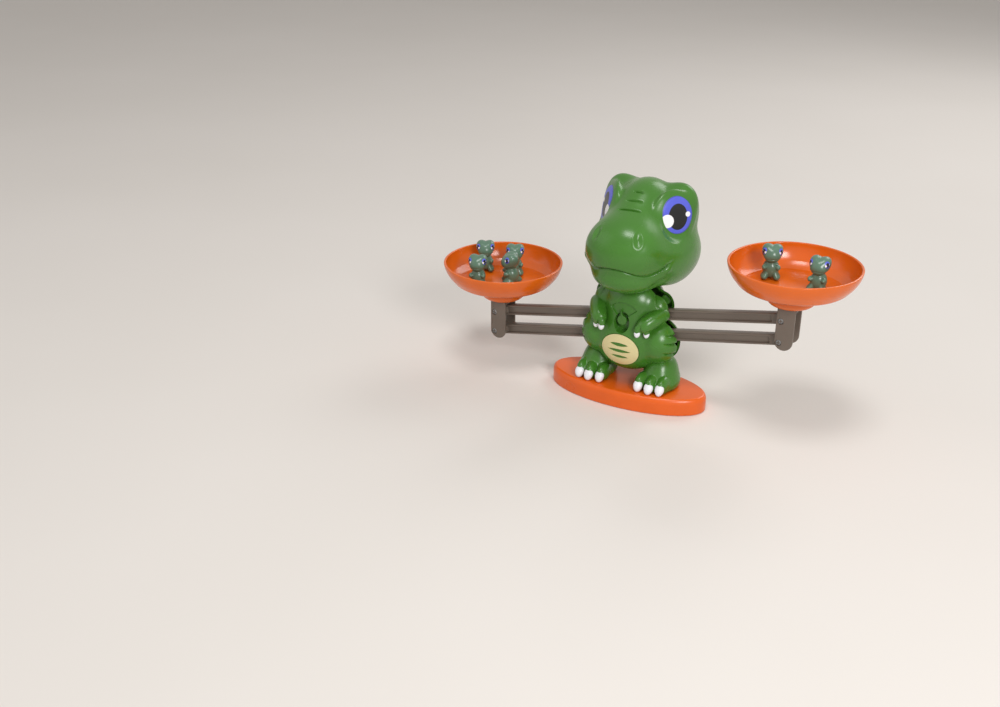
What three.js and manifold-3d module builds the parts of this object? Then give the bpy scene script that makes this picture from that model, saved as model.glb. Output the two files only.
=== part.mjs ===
// Tabletop number balance: a moulded toy dinosaur on a flat base carries two parallel beams.
// Each end of the beams holds an upright post with a round pan on it, so the pans stay level.
// Millimetres, +Z up, the dinosaur faces -Y, the origin is under the middle of the base.
import * as THREE from 'three';
import { mergeVertices } from 'three/addons/utils/BufferGeometryUtils.js';
import Module from 'manifold-3d';

const wasm = await Module();
wasm.setup();

// Clearances and overruns
const gap = 0.3;            // between pieces that touch
const over = 2;             // how far a cutter runs past what it cuts
const far = 160;            // past everything

// Base
const baseLength = 149.8;
const baseWidth = 65.6;
const baseHeight = 15.2;
const baseShift = -1.2;     // the base sits a little towards the front
const baseRound = 5.4;      // height of the rounded upper edge
const baseInset = 3.4;      // how far the upper edge rounds in
const baseWall = 2.5;
const basePlate = 2;
const plateBoss = 4;        // height of the plate's screw bosses

// Beams and their pivots
const armLength = 139;      // centre pivot to end pivot
const pivotSpacing = 19.2;  // upper pivot to lower pivot
const upperPivot = 79.4;    // height of the upper centre pivot
const pivotRise = 1;        // centre pivot above the line of the end pivots, which steadies the beam
const restTilt = 10.35;     // degrees, the left pan down on its stop
const beamHeight = 9.5;
const beamThick = 7;
const beamGroove = 2;       // depth of the long groove on each side
const beamFlange = 1.7;
const hubRadius = 7.6;
const hubThick = 8.4;
const shaftRadius = 2.4;

// Posts
const postWidth = 15.6;
const postDepth = 20;
const postPlate = 2;
const postOffset = 4.2;     // pan axis to the screws, along X
const postTop = 12.3;       // top of the post above the upper screw
const postBridge = 3.6;
const postToe = 6.2;        // rounded end below the lower screw
const spigotRadius = 7;
const spigotHeight = 8;

// Screws
const screwHead = 3;
const screwHeadHeight = 1.6;
const screwShank = 1.4;
const bossRadius = 4.6;

// Pans
const panRadius = 55;
const panHeight = 35.8;     // foot to rim
const panFloorRadius = 42;
const panFloorHeight = 16.2;
const panWall = 2.1;
const panFootRadius = 12.6;
const panFootFlare = 21;
const panFootRound = 7;

// Body
const bodyWidth = 92;
const bodyDepth = 56;
const bodyHeight = 80;
const bodyMiddle = 66;      // height of the body's middle
const bodyWall = 2.3;
const slotWidth = 9;        // the open slot between front and back, in which the beams swing
const windowRadius = 15.5;
const windowHalfAngle = 52; // degrees
const hubWindow = 8;
const windowFloor = 3.2;    // depth of the window behind the chest
const pointerRadius = 4.9;
const pointerThick = 2.2;
const needleLength = 10.2;
const needleWidth = 3.2;

// Belly patch and eyes
const patchWidth = 35.4;
const patchHeight = 30.4;
const patchMiddle = 51.8;
const patchThick = 1.2;
const eyeWidth = 29;
const eyeHeight = 34;
const eyeThick = 1.1;

// Head
const headWidth = 94;
const headDepth = 114;
const headHeight = 105;
const headMiddle = 150.4;
const headShift = 4.4;
const headWall = 2.6;
const headSplitShare = 0.228; // from the middle back to the seam between the halves, of the depth
const neckRadius = 18;
const neckTop = 116;
const neckWall = 2.4;
const neckFlange = 3;       // the rim that keeps the head on the neck

// Legs and claws
const footWidth = 33;
const footLength = 46;
const footHeight = 29;
const footSpread = 30;      // each foot's middle to the middle plane
const legRadius = 5.2;
const legTop = 44.5;
const toeClawWidth = 8.2;
const toeClawHeight = 10.2;
const toeBar = 2.6;
const fingerClaw = 4.8;
const fingerBar = 1.8;

// Counting figures
const figureHeight = 30;
const figureWidth = 17;

// Grid of the moulded surfaces
const bodyColumns = 24;
const bodyRows = 14;
const innerColumns = 14;
const innerRows = 9;
const limbColumns = 10;
const limbRows = 8;

const radians = THREE.MathUtils.degToRad;
function material(color, roughness, metalness = 0) {
  return new THREE.MeshStandardMaterial({ color, roughness, metalness });
}
const green = material(0x3f8a34, 0.32);
const orange = material(0xe0641a, 0.3);
const orangePan = material(0xdb5f17, 0.28);
const taupe = material(0x67605c, 0.45);
const cream = material(0xdccf9a, 0.4);
const white = material(0xefeff8, 0.25);
const iris = material(0x5566dd, 0.2);
const slate = material(0x4d6b58, 0.25);
const steel = material(0x8d9094, 0.35, 0.9);

const group = new THREE.Group();

// Points closer than this share of the gap count as one
const weldShare = 0.001;

// Turns a closed three.js geometry into a manifold solid
function solid(geometry) {
  const bare = geometry.index ? geometry.clone() : geometry;
  bare.deleteAttribute('normal');
  bare.deleteAttribute('uv');
  const merged = mergeVertices(bare, gap * weldShare);
  return new wasm.Manifold(new wasm.Mesh({
    numProp: 3,
    vertProperties: new Float32Array(merged.attributes.position.array),
    triVerts: new Uint32Array(merged.index.array),
  }));
}

// Puts a finished solid into the scene under its name
function place(name, body, look) {
  const mesh = body.getMesh();
  const geometry = new THREE.BufferGeometry();
  geometry.setAttribute('position', new THREE.BufferAttribute(mesh.vertProperties, 3));
  geometry.setIndex(new THREE.BufferAttribute(mesh.triVerts, 1));
  geometry.computeVertexNormals();
  const item = new THREE.Mesh(geometry, look);
  item.name = name;
  group.add(item);
  return item;
}

const join = (...parts) => parts.reduce((a, b) => a.add(b));
const cut = (body, ...tools) => tools.reduce((a, b) => a.subtract(b), body);

function block(x0, x1, y0, y1, z0, z1) {
  const shape = new THREE.BoxGeometry(x1 - x0, y1 - y0, z1 - z0);
  shape.translate((x0 + x1) / 2, (y0 + y1) / 2, (z0 + z1) / 2);
  return solid(shape);
}

// A round rod along Y from y0 to y1
function rodY(x, z, radius, y0, y1, sides = 12) {
  const shape = new THREE.CylinderGeometry(radius, radius, y1 - y0, sides);
  shape.translate(x, (y0 + y1) / 2, z);
  return solid(shape);
}

// A round rod along Z from z0 to z1
function rodZ(x, y, radius, z0, z1, sides = 12) {
  const shape = new THREE.CylinderGeometry(radius, radius, z1 - z0, sides);
  shape.rotateX(Math.PI / 2);
  shape.translate(x, y, (z0 + z1) / 2);
  return solid(shape);
}

// A closed profile of [radius, height] pairs turned about the vertical axis
function turned(profile, sides = 24) {
  const shape = new THREE.LatheGeometry(profile.map(([r, z]) => new THREE.Vector2(r, z)), sides);
  shape.rotateX(Math.PI / 2);
  return solid(shape);
}

// A flat outline in the XZ plane, raised to z and drawn out along Y from y0 to y1
function plateY(outline, y0, y1, z = 0) {
  const settings = { depth: y1 - y0, bevelEnabled: false, curveSegments: 8 };
  const shape = new THREE.ExtrudeGeometry(outline, settings);
  shape.rotateX(Math.PI / 2);
  shape.translate(0, y1, z);
  return solid(shape);
}

// Distance of a point to an ellipsoid, close to its surface
function ellipsoidDistance(p, [x, y, z], [rx, ry, rz]) {
  const dx = p[0] - x;
  const dy = p[1] - y;
  const dz = p[2] - z;
  const k0 = Math.hypot(dx / rx, dy / ry, dz / rz);
  const k1 = Math.hypot(dx / (rx * rx), dy / (ry * ry), dz / (rz * rz));
  return k1 > 0 ? k0 * (k0 - 1) / k1 : -Math.min(rx, ry, rz);
}

// The smaller of two distances, rounded where they meet
function softMin(a, b, blend) {
  const h = Math.min(1, Math.max(0, 0.5 + 0.5 * (b - a) / blend));
  return b * (1 - h) + a * h - blend * h * (1 - h);
}

// A moulded form: swellings listed as shares of a width, depth and height about a middle.
// Each row is x, y, z of the swelling, its three half sizes, and the blend to those before it.
// Rows count on both sides of the middle plane.
function form(shares, [width, depth, height], [mx, my, mz], twoSided = true) {
  const rows = shares.map(([x, y, z, rx, ry, rz, blend]) => ({
    at: [mx + x * width, my + y * depth, mz + z * height],
    size: [rx * width, ry * depth, rz * height],
    blend: blend * height,
  }));
  return (p) => {
    const q = [twoSided ? Math.abs(p[0]) : p[0], p[1], p[2]];
    const [first, ...others] = rows;
    const start = ellipsoidDistance(q, first.at, first.size);
    return others.reduce((d, r) => softMin(d, ellipsoidDistance(q, r.at, r.size), r.blend), start);
  };
}

// The distance from a centre, along a direction, at which the field reaches the level.
// It walks inwards from the farthest point and then halves the last step.
const walkSteps = 90;
const halvings = 22;
function reach(field, centre, way, farthest, level) {
  const at = (t) => centre.map((v, i) => v + way[i] * t);
  const step = farthest / walkSteps;
  let outer = farthest;
  while (outer > step && field(at(outer)) > level) outer -= step;
  let inner = outer;
  outer += step;
  for (let i = 0; i < halvings; i += 1) {
    const middle = (inner + outer) / 2;
    if (field(at(middle)) > level) outer = middle;
    else inner = middle;
  }
  return inner;
}

// A closed surface round a centre: each direction of a globe's grid reaches the field's level
function moulded(field, centre, farthest, level, columns, rows) {
  const points = [];
  const add = (way) => {
    const t = reach(field, centre, way, farthest, level);
    points.push(...centre.map((v, i) => v + way[i] * t));
  };
  add([0, 0, 1]);
  for (let r = 1; r < rows; r += 1) {
    const down = Math.PI * r / rows;
    for (let c = 0; c < columns; c += 1) {
      const turn = 2 * Math.PI * c / columns;
      add([Math.sin(down) * Math.cos(turn), Math.sin(down) * Math.sin(turn), Math.cos(down)]);
    }
  }
  add([0, 0, -1]);
  const index = [];
  const last = points.length / 3 - 1;
  const id = (r, c) => 1 + (r - 1) * columns + (c % columns);
  for (let c = 0; c < columns; c += 1) {
    index.push(0, id(1, c), id(1, c + 1));
    index.push(last, id(rows - 1, c + 1), id(rows - 1, c));
    for (let r = 1; r < rows - 1; r += 1) {
      index.push(id(r, c), id(r + 1, c), id(r + 1, c + 1));
      index.push(id(r, c), id(r + 1, c + 1), id(r, c + 1));
    }
  }
  const geometry = new THREE.BufferGeometry();
  geometry.setAttribute('position', new THREE.Float32BufferAttribute(points, 3));
  geometry.setIndex(index);
  return solid(geometry);
}

// Outward direction of a field at a point
function normalAt(field, p, step) {
  const n = [0, 1, 2].map((i) => {
    const a = p.map((v, k) => (k === i ? v + step : v));
    const b = p.map((v, k) => (k === i ? v - step : v));
    return field(a) - field(b);
  });
  return new THREE.Vector3(...n).normalize();
}

// An oval rod centred on a point, along a direction, with its tall side upright
function ovalRod(point, way, width, height, length, sides = 20) {
  const shape = new THREE.CylinderGeometry(1, 1, length, sides);
  shape.rotateX(Math.PI / 2);
  shape.scale(width / 2, height / 2, 1);
  const side = new THREE.Vector3(0, 0, 1).cross(way).normalize();
  const up = new THREE.Vector3().crossVectors(way, side);
  shape.applyMatrix4(new THREE.Matrix4().makeBasis(side, up, way));
  shape.translate(...point);
  return solid(shape);
}

// A screw along Y: the head's outer face at y, the tip at y + way * length
function screwY(x, z, y, length, way) {
  const neck = y + way * screwHeadHeight;
  const tip = y + way * length;
  const head = rodY(x, z, screwHead, Math.min(y, neck), Math.max(y, neck), 12);
  const shank = rodY(x, z, screwShank, Math.min(y, tip), Math.max(y, tip), 8);
  return head.add(shank);
}

// A screw along Z, driven upwards from z
function screwZ(x, y, z, length) {
  const head = rodZ(x, y, screwHead, z, z + screwHeadHeight, 12);
  const shank = rodZ(x, y, screwShank, z, z + length, 8);
  return head.add(shank);
}

// The base's oval outline, drawn in by an inset, at each height of a profile
function basePrism(profile, sides = 32) {
  const points = [];
  profile.forEach(([inset, z]) => {
    for (let i = 0; i < sides; i += 1) {
      const turn = 2 * Math.PI * i / sides;
      const x = Math.cos(turn) * (baseLength / 2 - inset);
      const y = Math.sin(turn) * (baseWidth / 2 - inset);
      points.push(x, baseShift + y, z);
    }
  });
  const rings = profile.length;
  const low = points.length / 3;
  points.push(0, baseShift, profile[0][1], 0, baseShift, profile[rings - 1][1]);
  const index = [];
  for (let i = 0; i < sides; i += 1) {
    const n = (i + 1) % sides;
    index.push(low, n, i, low + 1, (rings - 1) * sides + i, (rings - 1) * sides + n);
    for (let r = 0; r < rings - 1; r += 1) {
      const a = r * sides;
      const b = a + sides;
      index.push(a + i, a + n, b + n, a + i, b + n, b + i);
    }
  }
  const geometry = new THREE.BufferGeometry();
  geometry.setAttribute('position', new THREE.Float32BufferAttribute(points, 3));
  geometry.setIndex(index);
  return solid(geometry);
}

// Head: cranium, temples, brows, muzzle, cheeks, jaw, as shares of its width, depth and height
const headShares = [
  [0, 0.129, -0.01, 0.351, 0.357, 0.454, 0],
  [0.224, 0.206, 0.154, 0.222, 0.26, 0.192, 0.103],
  [0.298, 0.215, 0.288, 0.138, 0.076, 0.129, 0.085],
  [0, -0.255, -0.043, 0.363, 0.225, 0.259, 0.207],
  [0.311, 0.139, -0.186, 0.19, 0.355, 0.209, 0.189],
  [0, -0.179, -0.267, 0.326, 0.258, 0.155, 0.061],
];
const headSize = [headWidth, headDepth, headHeight];
const headField = form(headShares, headSize, [0, headShift, headMiddle]);
const headCentre = [0, headShift, headMiddle];
const headFar = headDepth;

// Body: belly, chest, hips and shoulders, as shares of its width, depth and height
const bodyShares = [
  [0, 0, -0.112, 0.37, 0.482, 0.388, 0],
  [0, 0.036, 0.275, 0.293, 0.411, 0.325, 0.15],
  [0.304, -0.018, -0.1, 0.198, 0.357, 0.256, 0.038],
  [0.29, -0.02, 0.31, 0.105, 0.18, 0.14, 0.05],
];
const tailShares = [
  [0, 0.42, -0.27, 0.17, 0.22, 0.19, 0],
  [0, 0.64, -0.35, 0.12, 0.2, 0.135, 0.1],
  [0, 0.82, -0.4, 0.075, 0.14, 0.08, 0.1],
];
const bodySize = [bodyWidth, bodyDepth, bodyHeight];
const bodyCentre = [0, 0, bodyMiddle];
const bodyField = form(bodyShares, bodySize, bodyCentre);
const tailField = form(tailShares, bodySize, bodyCentre);
const bodyFar = bodyWidth;
const bodyLevel = (level) => moulded(bodyField, bodyCentre, bodyFar, level, bodyColumns, bodyRows);
const bodyOuter = bodyLevel(0);
const bodyClear = bodyLevel(gap);

const lowerPivot = upperPivot - pivotSpacing;
const slotHalf = slotWidth / 2;
const slotGap = hubThick / 2 + gap;

// Where a pin at the beam's end lies at rest: the beam leans with its left end down
const lean = radians(restTilt);
function beamEnd(side, height) {
  const x = side * armLength;
  return [
    x * Math.cos(lean) + pivotRise * Math.sin(lean),
    height + x * Math.sin(lean) - pivotRise * Math.cos(lean),
  ];
}

// Base shell, its bottom plate and their screws
const edgeShares = [0.35, 0.7, 1];
const baseOutside = basePrism([
  [gap, 0],
  [0, gap * 2],
  ...[0, ...edgeShares].map((s) => [
    baseInset * (1 - Math.cos(s * Math.PI / 2)),
    baseHeight - baseRound + baseRound * Math.sin(s * Math.PI / 2),
  ]),
]);
const baseCeiling = baseHeight - baseWall;
const baseInside = basePrism([
  [baseWall, -over],
  [baseWall, baseHeight - baseRound],
  [baseWall + baseInset, baseCeiling],
]);
const plateScrewShares = [[-0.34, 0], [0.34, 0], [0, -0.24], [0, 0.24]];
const plateScrews = plateScrewShares.map(([x, y]) => [x * baseLength, y * baseWidth + baseShift]);
const footScrews = [[-footSpread, 0], [footSpread, 0]];
const screwHole = screwShank + gap;
const headHole = screwHead + gap;

const pillarTop = baseCeiling + gap;
const boardPillars = plateScrews.map(([x, y]) => rodZ(x, y, bossRadius, plateBoss + gap, pillarTop));
const boardPads = footScrews.map(([x, y]) => rodZ(x, y, bossRadius, baseHeight / 2, pillarTop));
const baseBoard = cut(
  join(cut(baseOutside, baseInside), ...boardPillars, ...boardPads),
  ...plateScrews.map(([x, y]) => rodZ(x, y, screwHole, -over, baseCeiling - gap, 8)),
  ...footScrews.map(([x, y]) => rodZ(x, y, screwHole, -over, baseHeight + over, 8)),
  ...footScrews.map(([x, y]) => rodZ(x, y, headHole, -over, baseCeiling, 12)),
);
place('base_board', baseBoard, orange);

const plateRim = baseWall + gap;
const counterbore = gap * 2 + screwHeadHeight;
const bottomPlate = cut(
  join(
    basePrism([[plateRim, 0], [plateRim, basePlate]]),
    ...plateScrews.map(([x, y]) => rodZ(x, y, bossRadius, basePlate / 2, plateBoss, 10)),
  ),
  ...plateScrews.map(([x, y]) => rodZ(x, y, screwHole, -over, plateBoss + over, 8)),
  ...plateScrews.map(([x, y]) => rodZ(x, y, headHole, -over, counterbore)),
);
place('base_bottom_plate', bottomPlate, orange);
plateScrews.forEach(([x, y], i) => {
  place(`base_screw_${i + 1}`, screwZ(x, y, gap / 2, baseCeiling - gap - over), steel);
});
const legScrewLength = legTop - baseCeiling - footHeight / 3;
footScrews.forEach(([x, y], i) => {
  place(`leg_screw_${i + 1}`, screwZ(x, y, baseCeiling - gap - screwHeadHeight, legScrewLength), steel);
});

// Feet: a rounded foot with three toes, a leg peg that goes up into the body, and toe claws
const footSize = [footWidth, footLength, footHeight];
const footShares = [
  [0, 0, 0, 0.47, 0.413, 0.5, 0],
  [-0.336, -0.326, -0.276, 0.182, 0.217, 0.259, 0.103],
  [-0.015, -0.348, -0.276, 0.182, 0.217, 0.259, 0.103],
  [0.282, -0.304, -0.276, 0.182, 0.217, 0.259, 0.103],
];
const toeShares = [[-0.336, -0.47], [-0.015, -0.495], [0.282, -0.455]];
const footMiddleShare = 0.476;
const footMiddle = baseHeight + footMiddleShare * footHeight;

function toeClaws(side, spare) {
  const claws = toeShares.map(([x, y]) => {
    const claw = new THREE.SphereGeometry(1, 8, 5);
    claw.scale(toeClawWidth / 2 + spare, toeClawWidth / 2 + spare, toeClawHeight / 2 + spare);
    const middle = baseHeight + gap + toeClawHeight / 2;
    claw.translate(side * (footSpread + x * footWidth), y * footLength, middle);
    return solid(claw);
  });
  const ends = [toeShares[0], toeShares[2]].map(([x]) => side * (footSpread + x * footWidth));
  const y = toeShares[0][1] * footLength + toeClawWidth / 2;
  const z = baseHeight + toeClawHeight / 2;
  const bar = block(
    Math.min(...ends), Math.max(...ends),
    y - toeBar - spare, y + spare,
    z - toeBar / 2 - spare, z + toeBar / 2 + spare,
  );
  return join(...claws, bar);
}

for (const [side, word] of [[-1, 'left'], [1, 'right']]) {
  const field = form(footShares.map((r) => [side * r[0], ...r.slice(1)]), footSize,
    [side * footSpread, 0, footMiddle], false);
  const foot = moulded(field, [side * footSpread, -footLength / 10, footMiddle - footHeight / 7],
    footLength, 0, 14, 10);
  const leg = rodZ(side * footSpread, 0, legRadius, footMiddle, legTop, 14);
  const floor = block(-baseLength, baseLength, -baseLength, baseLength, -baseLength, baseHeight + gap);
  const claws = toeClaws(side, 0);
  place(`${word}_toe_claws`, claws, white);
  place(`${word}_foot`, cut(
    join(cut(foot, bodyClear), leg),
    floor,
    toeClaws(side, gap),
    rodZ(side * footSpread, 0, screwHole, -over, baseCeiling + legScrewLength + gap, 8),
  ), green);
}

// Body shells: front and back, with the slot for the beams between them
const bodyInner = moulded(bodyField, bodyCentre, bodyFar, -bodyWall, innerColumns, innerRows);
const frontHalf = block(-far, far, -far, -slotHalf, -far, far * 2);
const backHalf = block(-far, far, slotHalf, far, -far, far * 2);
const pillarShares = [[-0.283, 0.33], [0.283, 0.33], [-0.16, -0.35], [0.16, -0.35]];
const pillars = pillarShares.map(([x, z]) => [x * bodyWidth, bodyMiddle + z * bodyHeight]);
const pillarRadius = bossRadius - gap * 2;

// The chest, at the pointer's hub
const chest = -reach(bodyField, [0, 0, upperPivot], [0, -1, 0], bodyDepth, 0);
const windowBack = chest + windowFloor;

// The window on the chest: a round for the hub with a fan above it for the needle
function windowCutter() {
  const fan = new THREE.Shape();
  const half = radians(windowHalfAngle);
  fan.moveTo(0, 0);
  fan.lineTo(windowRadius * Math.sin(half), windowRadius * Math.cos(half));
  fan.absarc(0, 0, windowRadius, Math.PI / 2 - half, Math.PI / 2 + half, false);
  fan.closePath();
  return plateY(fan, chest - windowRadius, windowBack, upperPivot)
    .add(rodY(0, upperPivot, hubWindow, chest - windowRadius, windowBack, 20));
}

// The belly patch: an oval taken out of the skin, with three long openings
const bellyPoint = [0, -reach(bodyField, [0, 0, patchMiddle], [0, -1, 0], bodyDepth, 0), patchMiddle];
const forward = new THREE.Vector3(0, -1, 0);
const patchRod = (spare) => ovalRod(
  bellyPoint, forward, patchWidth + spare * 2, patchHeight + spare * 2, bodyDepth / 2,
);
const patchRowShares = [[0.2, 0.48], [0, 0.62], [-0.2, 0.48]];
const patchLineShare = 0.085;
const patchSlots = patchRowShares.map(([up, wide]) => ovalRod(
  [0, bellyPoint[1], patchMiddle + up * patchHeight], forward,
  wide * patchWidth, patchLineShare * patchHeight, bodyDepth / 2, 10,
));
const patch = patchRod(0).intersect(bodyOuter);
place('belly_patch', cut(patch, bodyLevel(-patchThick), ...patchSlots), cream);
const patchPocket = cut(patchRod(gap), bodyLevel(-patchThick - gap));

// Arms: each lies in a shallow pocket of the front shell, with two fingers and their claws
const armShares = [
  [0.342, -0.196, 0.22, 0.07, 0.11, 0.08, 0],
  [0.3, -0.29, 0.182, 0.064, 0.1, 0.074, 0.06],
  [0.262, -0.37, 0.145, 0.057, 0.093, 0.066, 0.06],
  [0.228, -0.435, 0.105, 0.054, 0.087, 0.062, 0.05],
  [0.194, -0.473, 0.075, 0.028, 0.046, 0.042, 0.02],
  [0.252, -0.405, 0.065, 0.028, 0.046, 0.042, 0.02],
];
const fingerShares = [[0.189, -0.482, 0.052], [0.255, -0.405, 0.04]];
const armCentreShares = [0.28, -0.33, 0.16];
const armPocketShare = 0.6;
const armPocket = armPocketShare * bodyWall;
function bodyAt([x, y, z], side = 1) {
  return [side * x * bodyWidth, y * bodyDepth, bodyMiddle + z * bodyHeight];
}
const pocketFloor = bodyLevel(-armPocket - gap);
const armFloor = bodyLevel(-armPocket);

function fingerClaws(side, spare) {
  const places = fingerShares.map((share) => bodyAt(share, side));
  const claws = places.map((point) => {
    const claw = new THREE.SphereGeometry(fingerClaw / 2 + spare, 6, 5);
    claw.translate(...point);
    return solid(claw);
  });
  const [a, b] = places.map((point) => new THREE.Vector3(...point));
  const thick = fingerBar / 2 + spare;
  const bar = new THREE.CylinderGeometry(thick, thick, a.distanceTo(b) + spare * 2, 6);
  const along = b.clone().sub(a).normalize();
  const turn = new THREE.Quaternion().setFromUnitVectors(new THREE.Vector3(0, 1, 0), along);
  bar.applyQuaternion(turn);
  bar.translate(...a.clone().add(b).divideScalar(2).toArray());
  bar.translate(0, 0, fingerBar);
  return join(...claws, solid(bar));
}

const armPockets = [];
for (const [side, word] of [[-1, 'left'], [1, 'right']]) {
  const field = form(armShares.map((r) => [side * r[0], ...r.slice(1)]), bodySize, bodyCentre, false);
  const centre = bodyAt(armCentreShares, side);
  const arm = moulded(field, centre, bodyDepth, 0, limbColumns, limbRows);
  const clear = moulded(field, centre, bodyDepth, gap * 1.5, limbColumns, limbRows);
  armPockets.push(cut(clear, pocketFloor));
  place(`${word}_finger_claws`, fingerClaws(side, 0), white);
  place(`${word}_arm`, cut(arm.intersect(frontHalf), armFloor, fingerClaws(side, gap)), green);
}

// The two body shells with their pillars, bearings and neck
const neckMiddle = bodyShares[1][1] * bodyDepth;
const neckSides = 24;
const neckFootShare = 0.4;
const neckTrimShare = 0.53;
const neckFoot = bodyMiddle + neckFootShare * bodyHeight;
const neckTrim = bodyMiddle + neckTrimShare * bodyHeight;
const flangeFrom = neckTop - neckFlange * 2;
const flangeTo = neckTop - neckFlange;
const outerWithNeck = join(
  bodyOuter.intersect(block(-far, far, -far, far, -far, neckTrim)),
  rodZ(0, neckMiddle, neckRadius, neckFoot, neckTop, neckSides),
  rodZ(0, neckMiddle, neckRadius + neckFlange, flangeFrom, flangeTo, neckSides),
);
const throat = rodZ(0, neckMiddle, neckRadius - neckWall, neckFoot, neckTop + over, neckSides);
const hollow = join(bodyInner, throat);
const skin = cut(outerWithNeck, hollow);
const bearingDepth = bodyDepth / 5;
const bearingHole = shaftRadius + gap;
const padBack = windowBack + bodyWall;
const armClaws = join(fingerClaws(-1, gap), fingerClaws(1, gap));
const legHole = legRadius + gap;
const legHoles = join(...footScrews.map(([x, y]) => rodZ(x, y, legHole, 0, legTop + gap, 14)));
const screwFaces = pillars.map(([x, z]) => reach(bodyField, [x, 0, z], [0, 1, 0], bodyDepth * 2, 0));

const frontShell = cut(
  join(
    skin.intersect(frontHalf),
    ...pillars.map(([x, z]) => rodY(x, z, pillarRadius, -far, -gap / 2, 12).intersect(bodyOuter)),
    rodY(0, upperPivot, windowRadius + over, windowBack - over, padBack, 28).intersect(bodyOuter),
    rodY(0, upperPivot, bossRadius, windowBack, -slotGap),
    rodY(0, lowerPivot, bossRadius, -far, -slotGap).intersect(bodyOuter),
  ),
  windowCutter(),
  rodY(0, upperPivot, bearingHole, -far, far, 16),
  rodY(0, lowerPivot, bearingHole, -slotGap - bearingDepth, far, 16),
  ...pillars.map(([x, z]) => rodY(x, z, screwHole, -bearingDepth, far, 8)),
  patchPocket,
  ...armPockets,
  armClaws,
  legHoles,
);
place('body_front', frontShell, green);

// The short tail is hollow too, open into the back shell
const tailCentre = bodyAt(tailShares[1]);
function tailLevel(level, columns, rows) {
  return moulded(tailField, tailCentre, bodyDepth, level, columns, rows);
}
const backSkin = cut(join(outerWithNeck, tailLevel(0, 16, 12)), hollow, tailLevel(-bodyWall, 12, 8));
const backShell = cut(
  join(
    backSkin.intersect(backHalf),
    ...pillars.map(([x, z]) => rodY(x, z, pillarRadius, gap / 2, far, 12).intersect(bodyOuter)),
    rodY(0, upperPivot, bossRadius, slotGap, far).intersect(bodyOuter),
    rodY(0, lowerPivot, bossRadius, slotGap, far).intersect(bodyOuter),
  ),
  ...[upperPivot, lowerPivot].map((z) => rodY(0, z, bearingHole, -far, slotGap + bearingDepth, 16)),
  ...pillars.map(([x, z]) => rodY(x, z, screwHole, -far, far, 8)),
  ...pillars.map(([x, z], i) => rodY(x, z, headHole, screwFaces[i] - counterbore, far, 12)),
  legHoles,
);
place('body_back', backShell, green);
pillars.forEach(([x, z], i) => {
  const y = screwFaces[i] - gap;
  place(`body_screw_${i + 1}`, screwY(x, z, y, y + bearingDepth - gap, -1), steel);
});

// The head: two hollow shells round the neck, joined from behind
const headOuter = moulded(headField, headCentre, headFar, 0, bodyColumns, bodyRows);
const headInner = moulded(headField, headCentre, headFar, -headWall, innerColumns, innerRows);
const neckOpening = join(
  bodyClear,
  rodZ(0, neckMiddle, neckRadius + gap, neckFoot, neckTop + over, neckSides),
  rodZ(0, neckMiddle, neckRadius + neckFlange + gap, flangeFrom - gap, flangeTo + gap, neckSides),
);
const headSkin = cut(headOuter, headInner, neckOpening);
const headSplit = headSplitShare * headDepth;
const seam = headShift + headSplit;
const headPillarShares = [[-0.35, 0], [0.35, 0], [0, 0.4]];
const headPillars = headPillarShares.map(([x, z]) => [x * headWidth, headMiddle + z * headHeight]);
const headFaces = headPillars.map(
  ([x, z]) => seam + reach(headField, [x, seam, z], [0, 1, 0], headDepth, 0),
);
const headGrip = headSplit / 2;
const ribLow = headMiddle - headWall / 2;
const ribHigh = headMiddle + headWall / 2;
const headRibs = join(
  block(-far, headPillars[0][0], seam - headGrip, far, ribLow, ribHigh),
  block(headPillars[1][0], far, seam - headGrip, far, ribLow, ribHigh),
).intersect(headOuter);
const frontPillars = headPillars.map(
  ([x, z]) => rodY(x, z, pillarRadius, seam - headGrip, seam - gap / 2).intersect(headOuter),
);
const backPillars = headPillars.map(
  ([x, z]) => rodY(x, z, pillarRadius, seam + gap / 2, far).intersect(headOuter),
);

// Eyes: oval inserts flush with the head, each facing the way the head faces there
const eyeShares = [0.36, 0.008, 0.21];
const eyeAim = new THREE.Vector3(...eyeShares.map((v, i) => v * headSize[i]));
function eyeRod(side, spare) {
  const way = eyeAim.clone().normalize().toArray();
  way[0] *= side;
  const out = reach(headField, headCentre, way, headFar, 0);
  const point = headCentre.map((v, i) => v + way[i] * out);
  const aim = normalAt(headField, point, gap);
  return ovalRod(point, aim, eyeWidth + spare * 2, eyeHeight + spare * 2, headWidth / 4);
}
const headLevel = (level) => moulded(headField, headCentre, headFar, level, bodyColumns, bodyRows);
const eyeFloor = headLevel(-eyeThick);
const eyePocketFloor = headLevel(-eyeThick - gap);
const eyePockets = [-1, 1].map((side) => cut(eyeRod(side, gap), eyePocketFloor));
place('left_eye', cut(eyeRod(-1, 0).intersect(headOuter), eyeFloor), iris);
place('right_eye', cut(eyeRod(1, 0).intersect(headOuter), eyeFloor), iris);

const headBody = join(headSkin, headRibs);
const headFront = cut(
  join(
    headBody.intersect(block(-far, far, -far, seam - gap / 2, 0, far * 2)),
    ...frontPillars,
  ),
  ...eyePockets,
  ...headPillars.map(([x, z]) => rodY(x, z, screwHole, seam - headGrip + over, far, 8)),
);
place('head_front', headFront, green);

const headBack = cut(
  join(
    headBody.intersect(block(-far, far, seam + gap / 2, far, 0, far * 2)),
    ...backPillars,
  ),
  ...eyePockets,
  ...headPillars.map(([x, z]) => rodY(x, z, screwHole, 0, far, 8)),
  ...headPillars.map(([x, z], i) => rodY(x, z, headHole, headFaces[i] - counterbore, far, 12)),
);
place('head_back', headBack, green);
headPillars.forEach(([x, z], i) => {
  const y = headFaces[i] - gap;
  place(`head_screw_${i + 1}`, screwY(x, z, y, y - seam + headGrip - over * 2, -1), steel);
});

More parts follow.
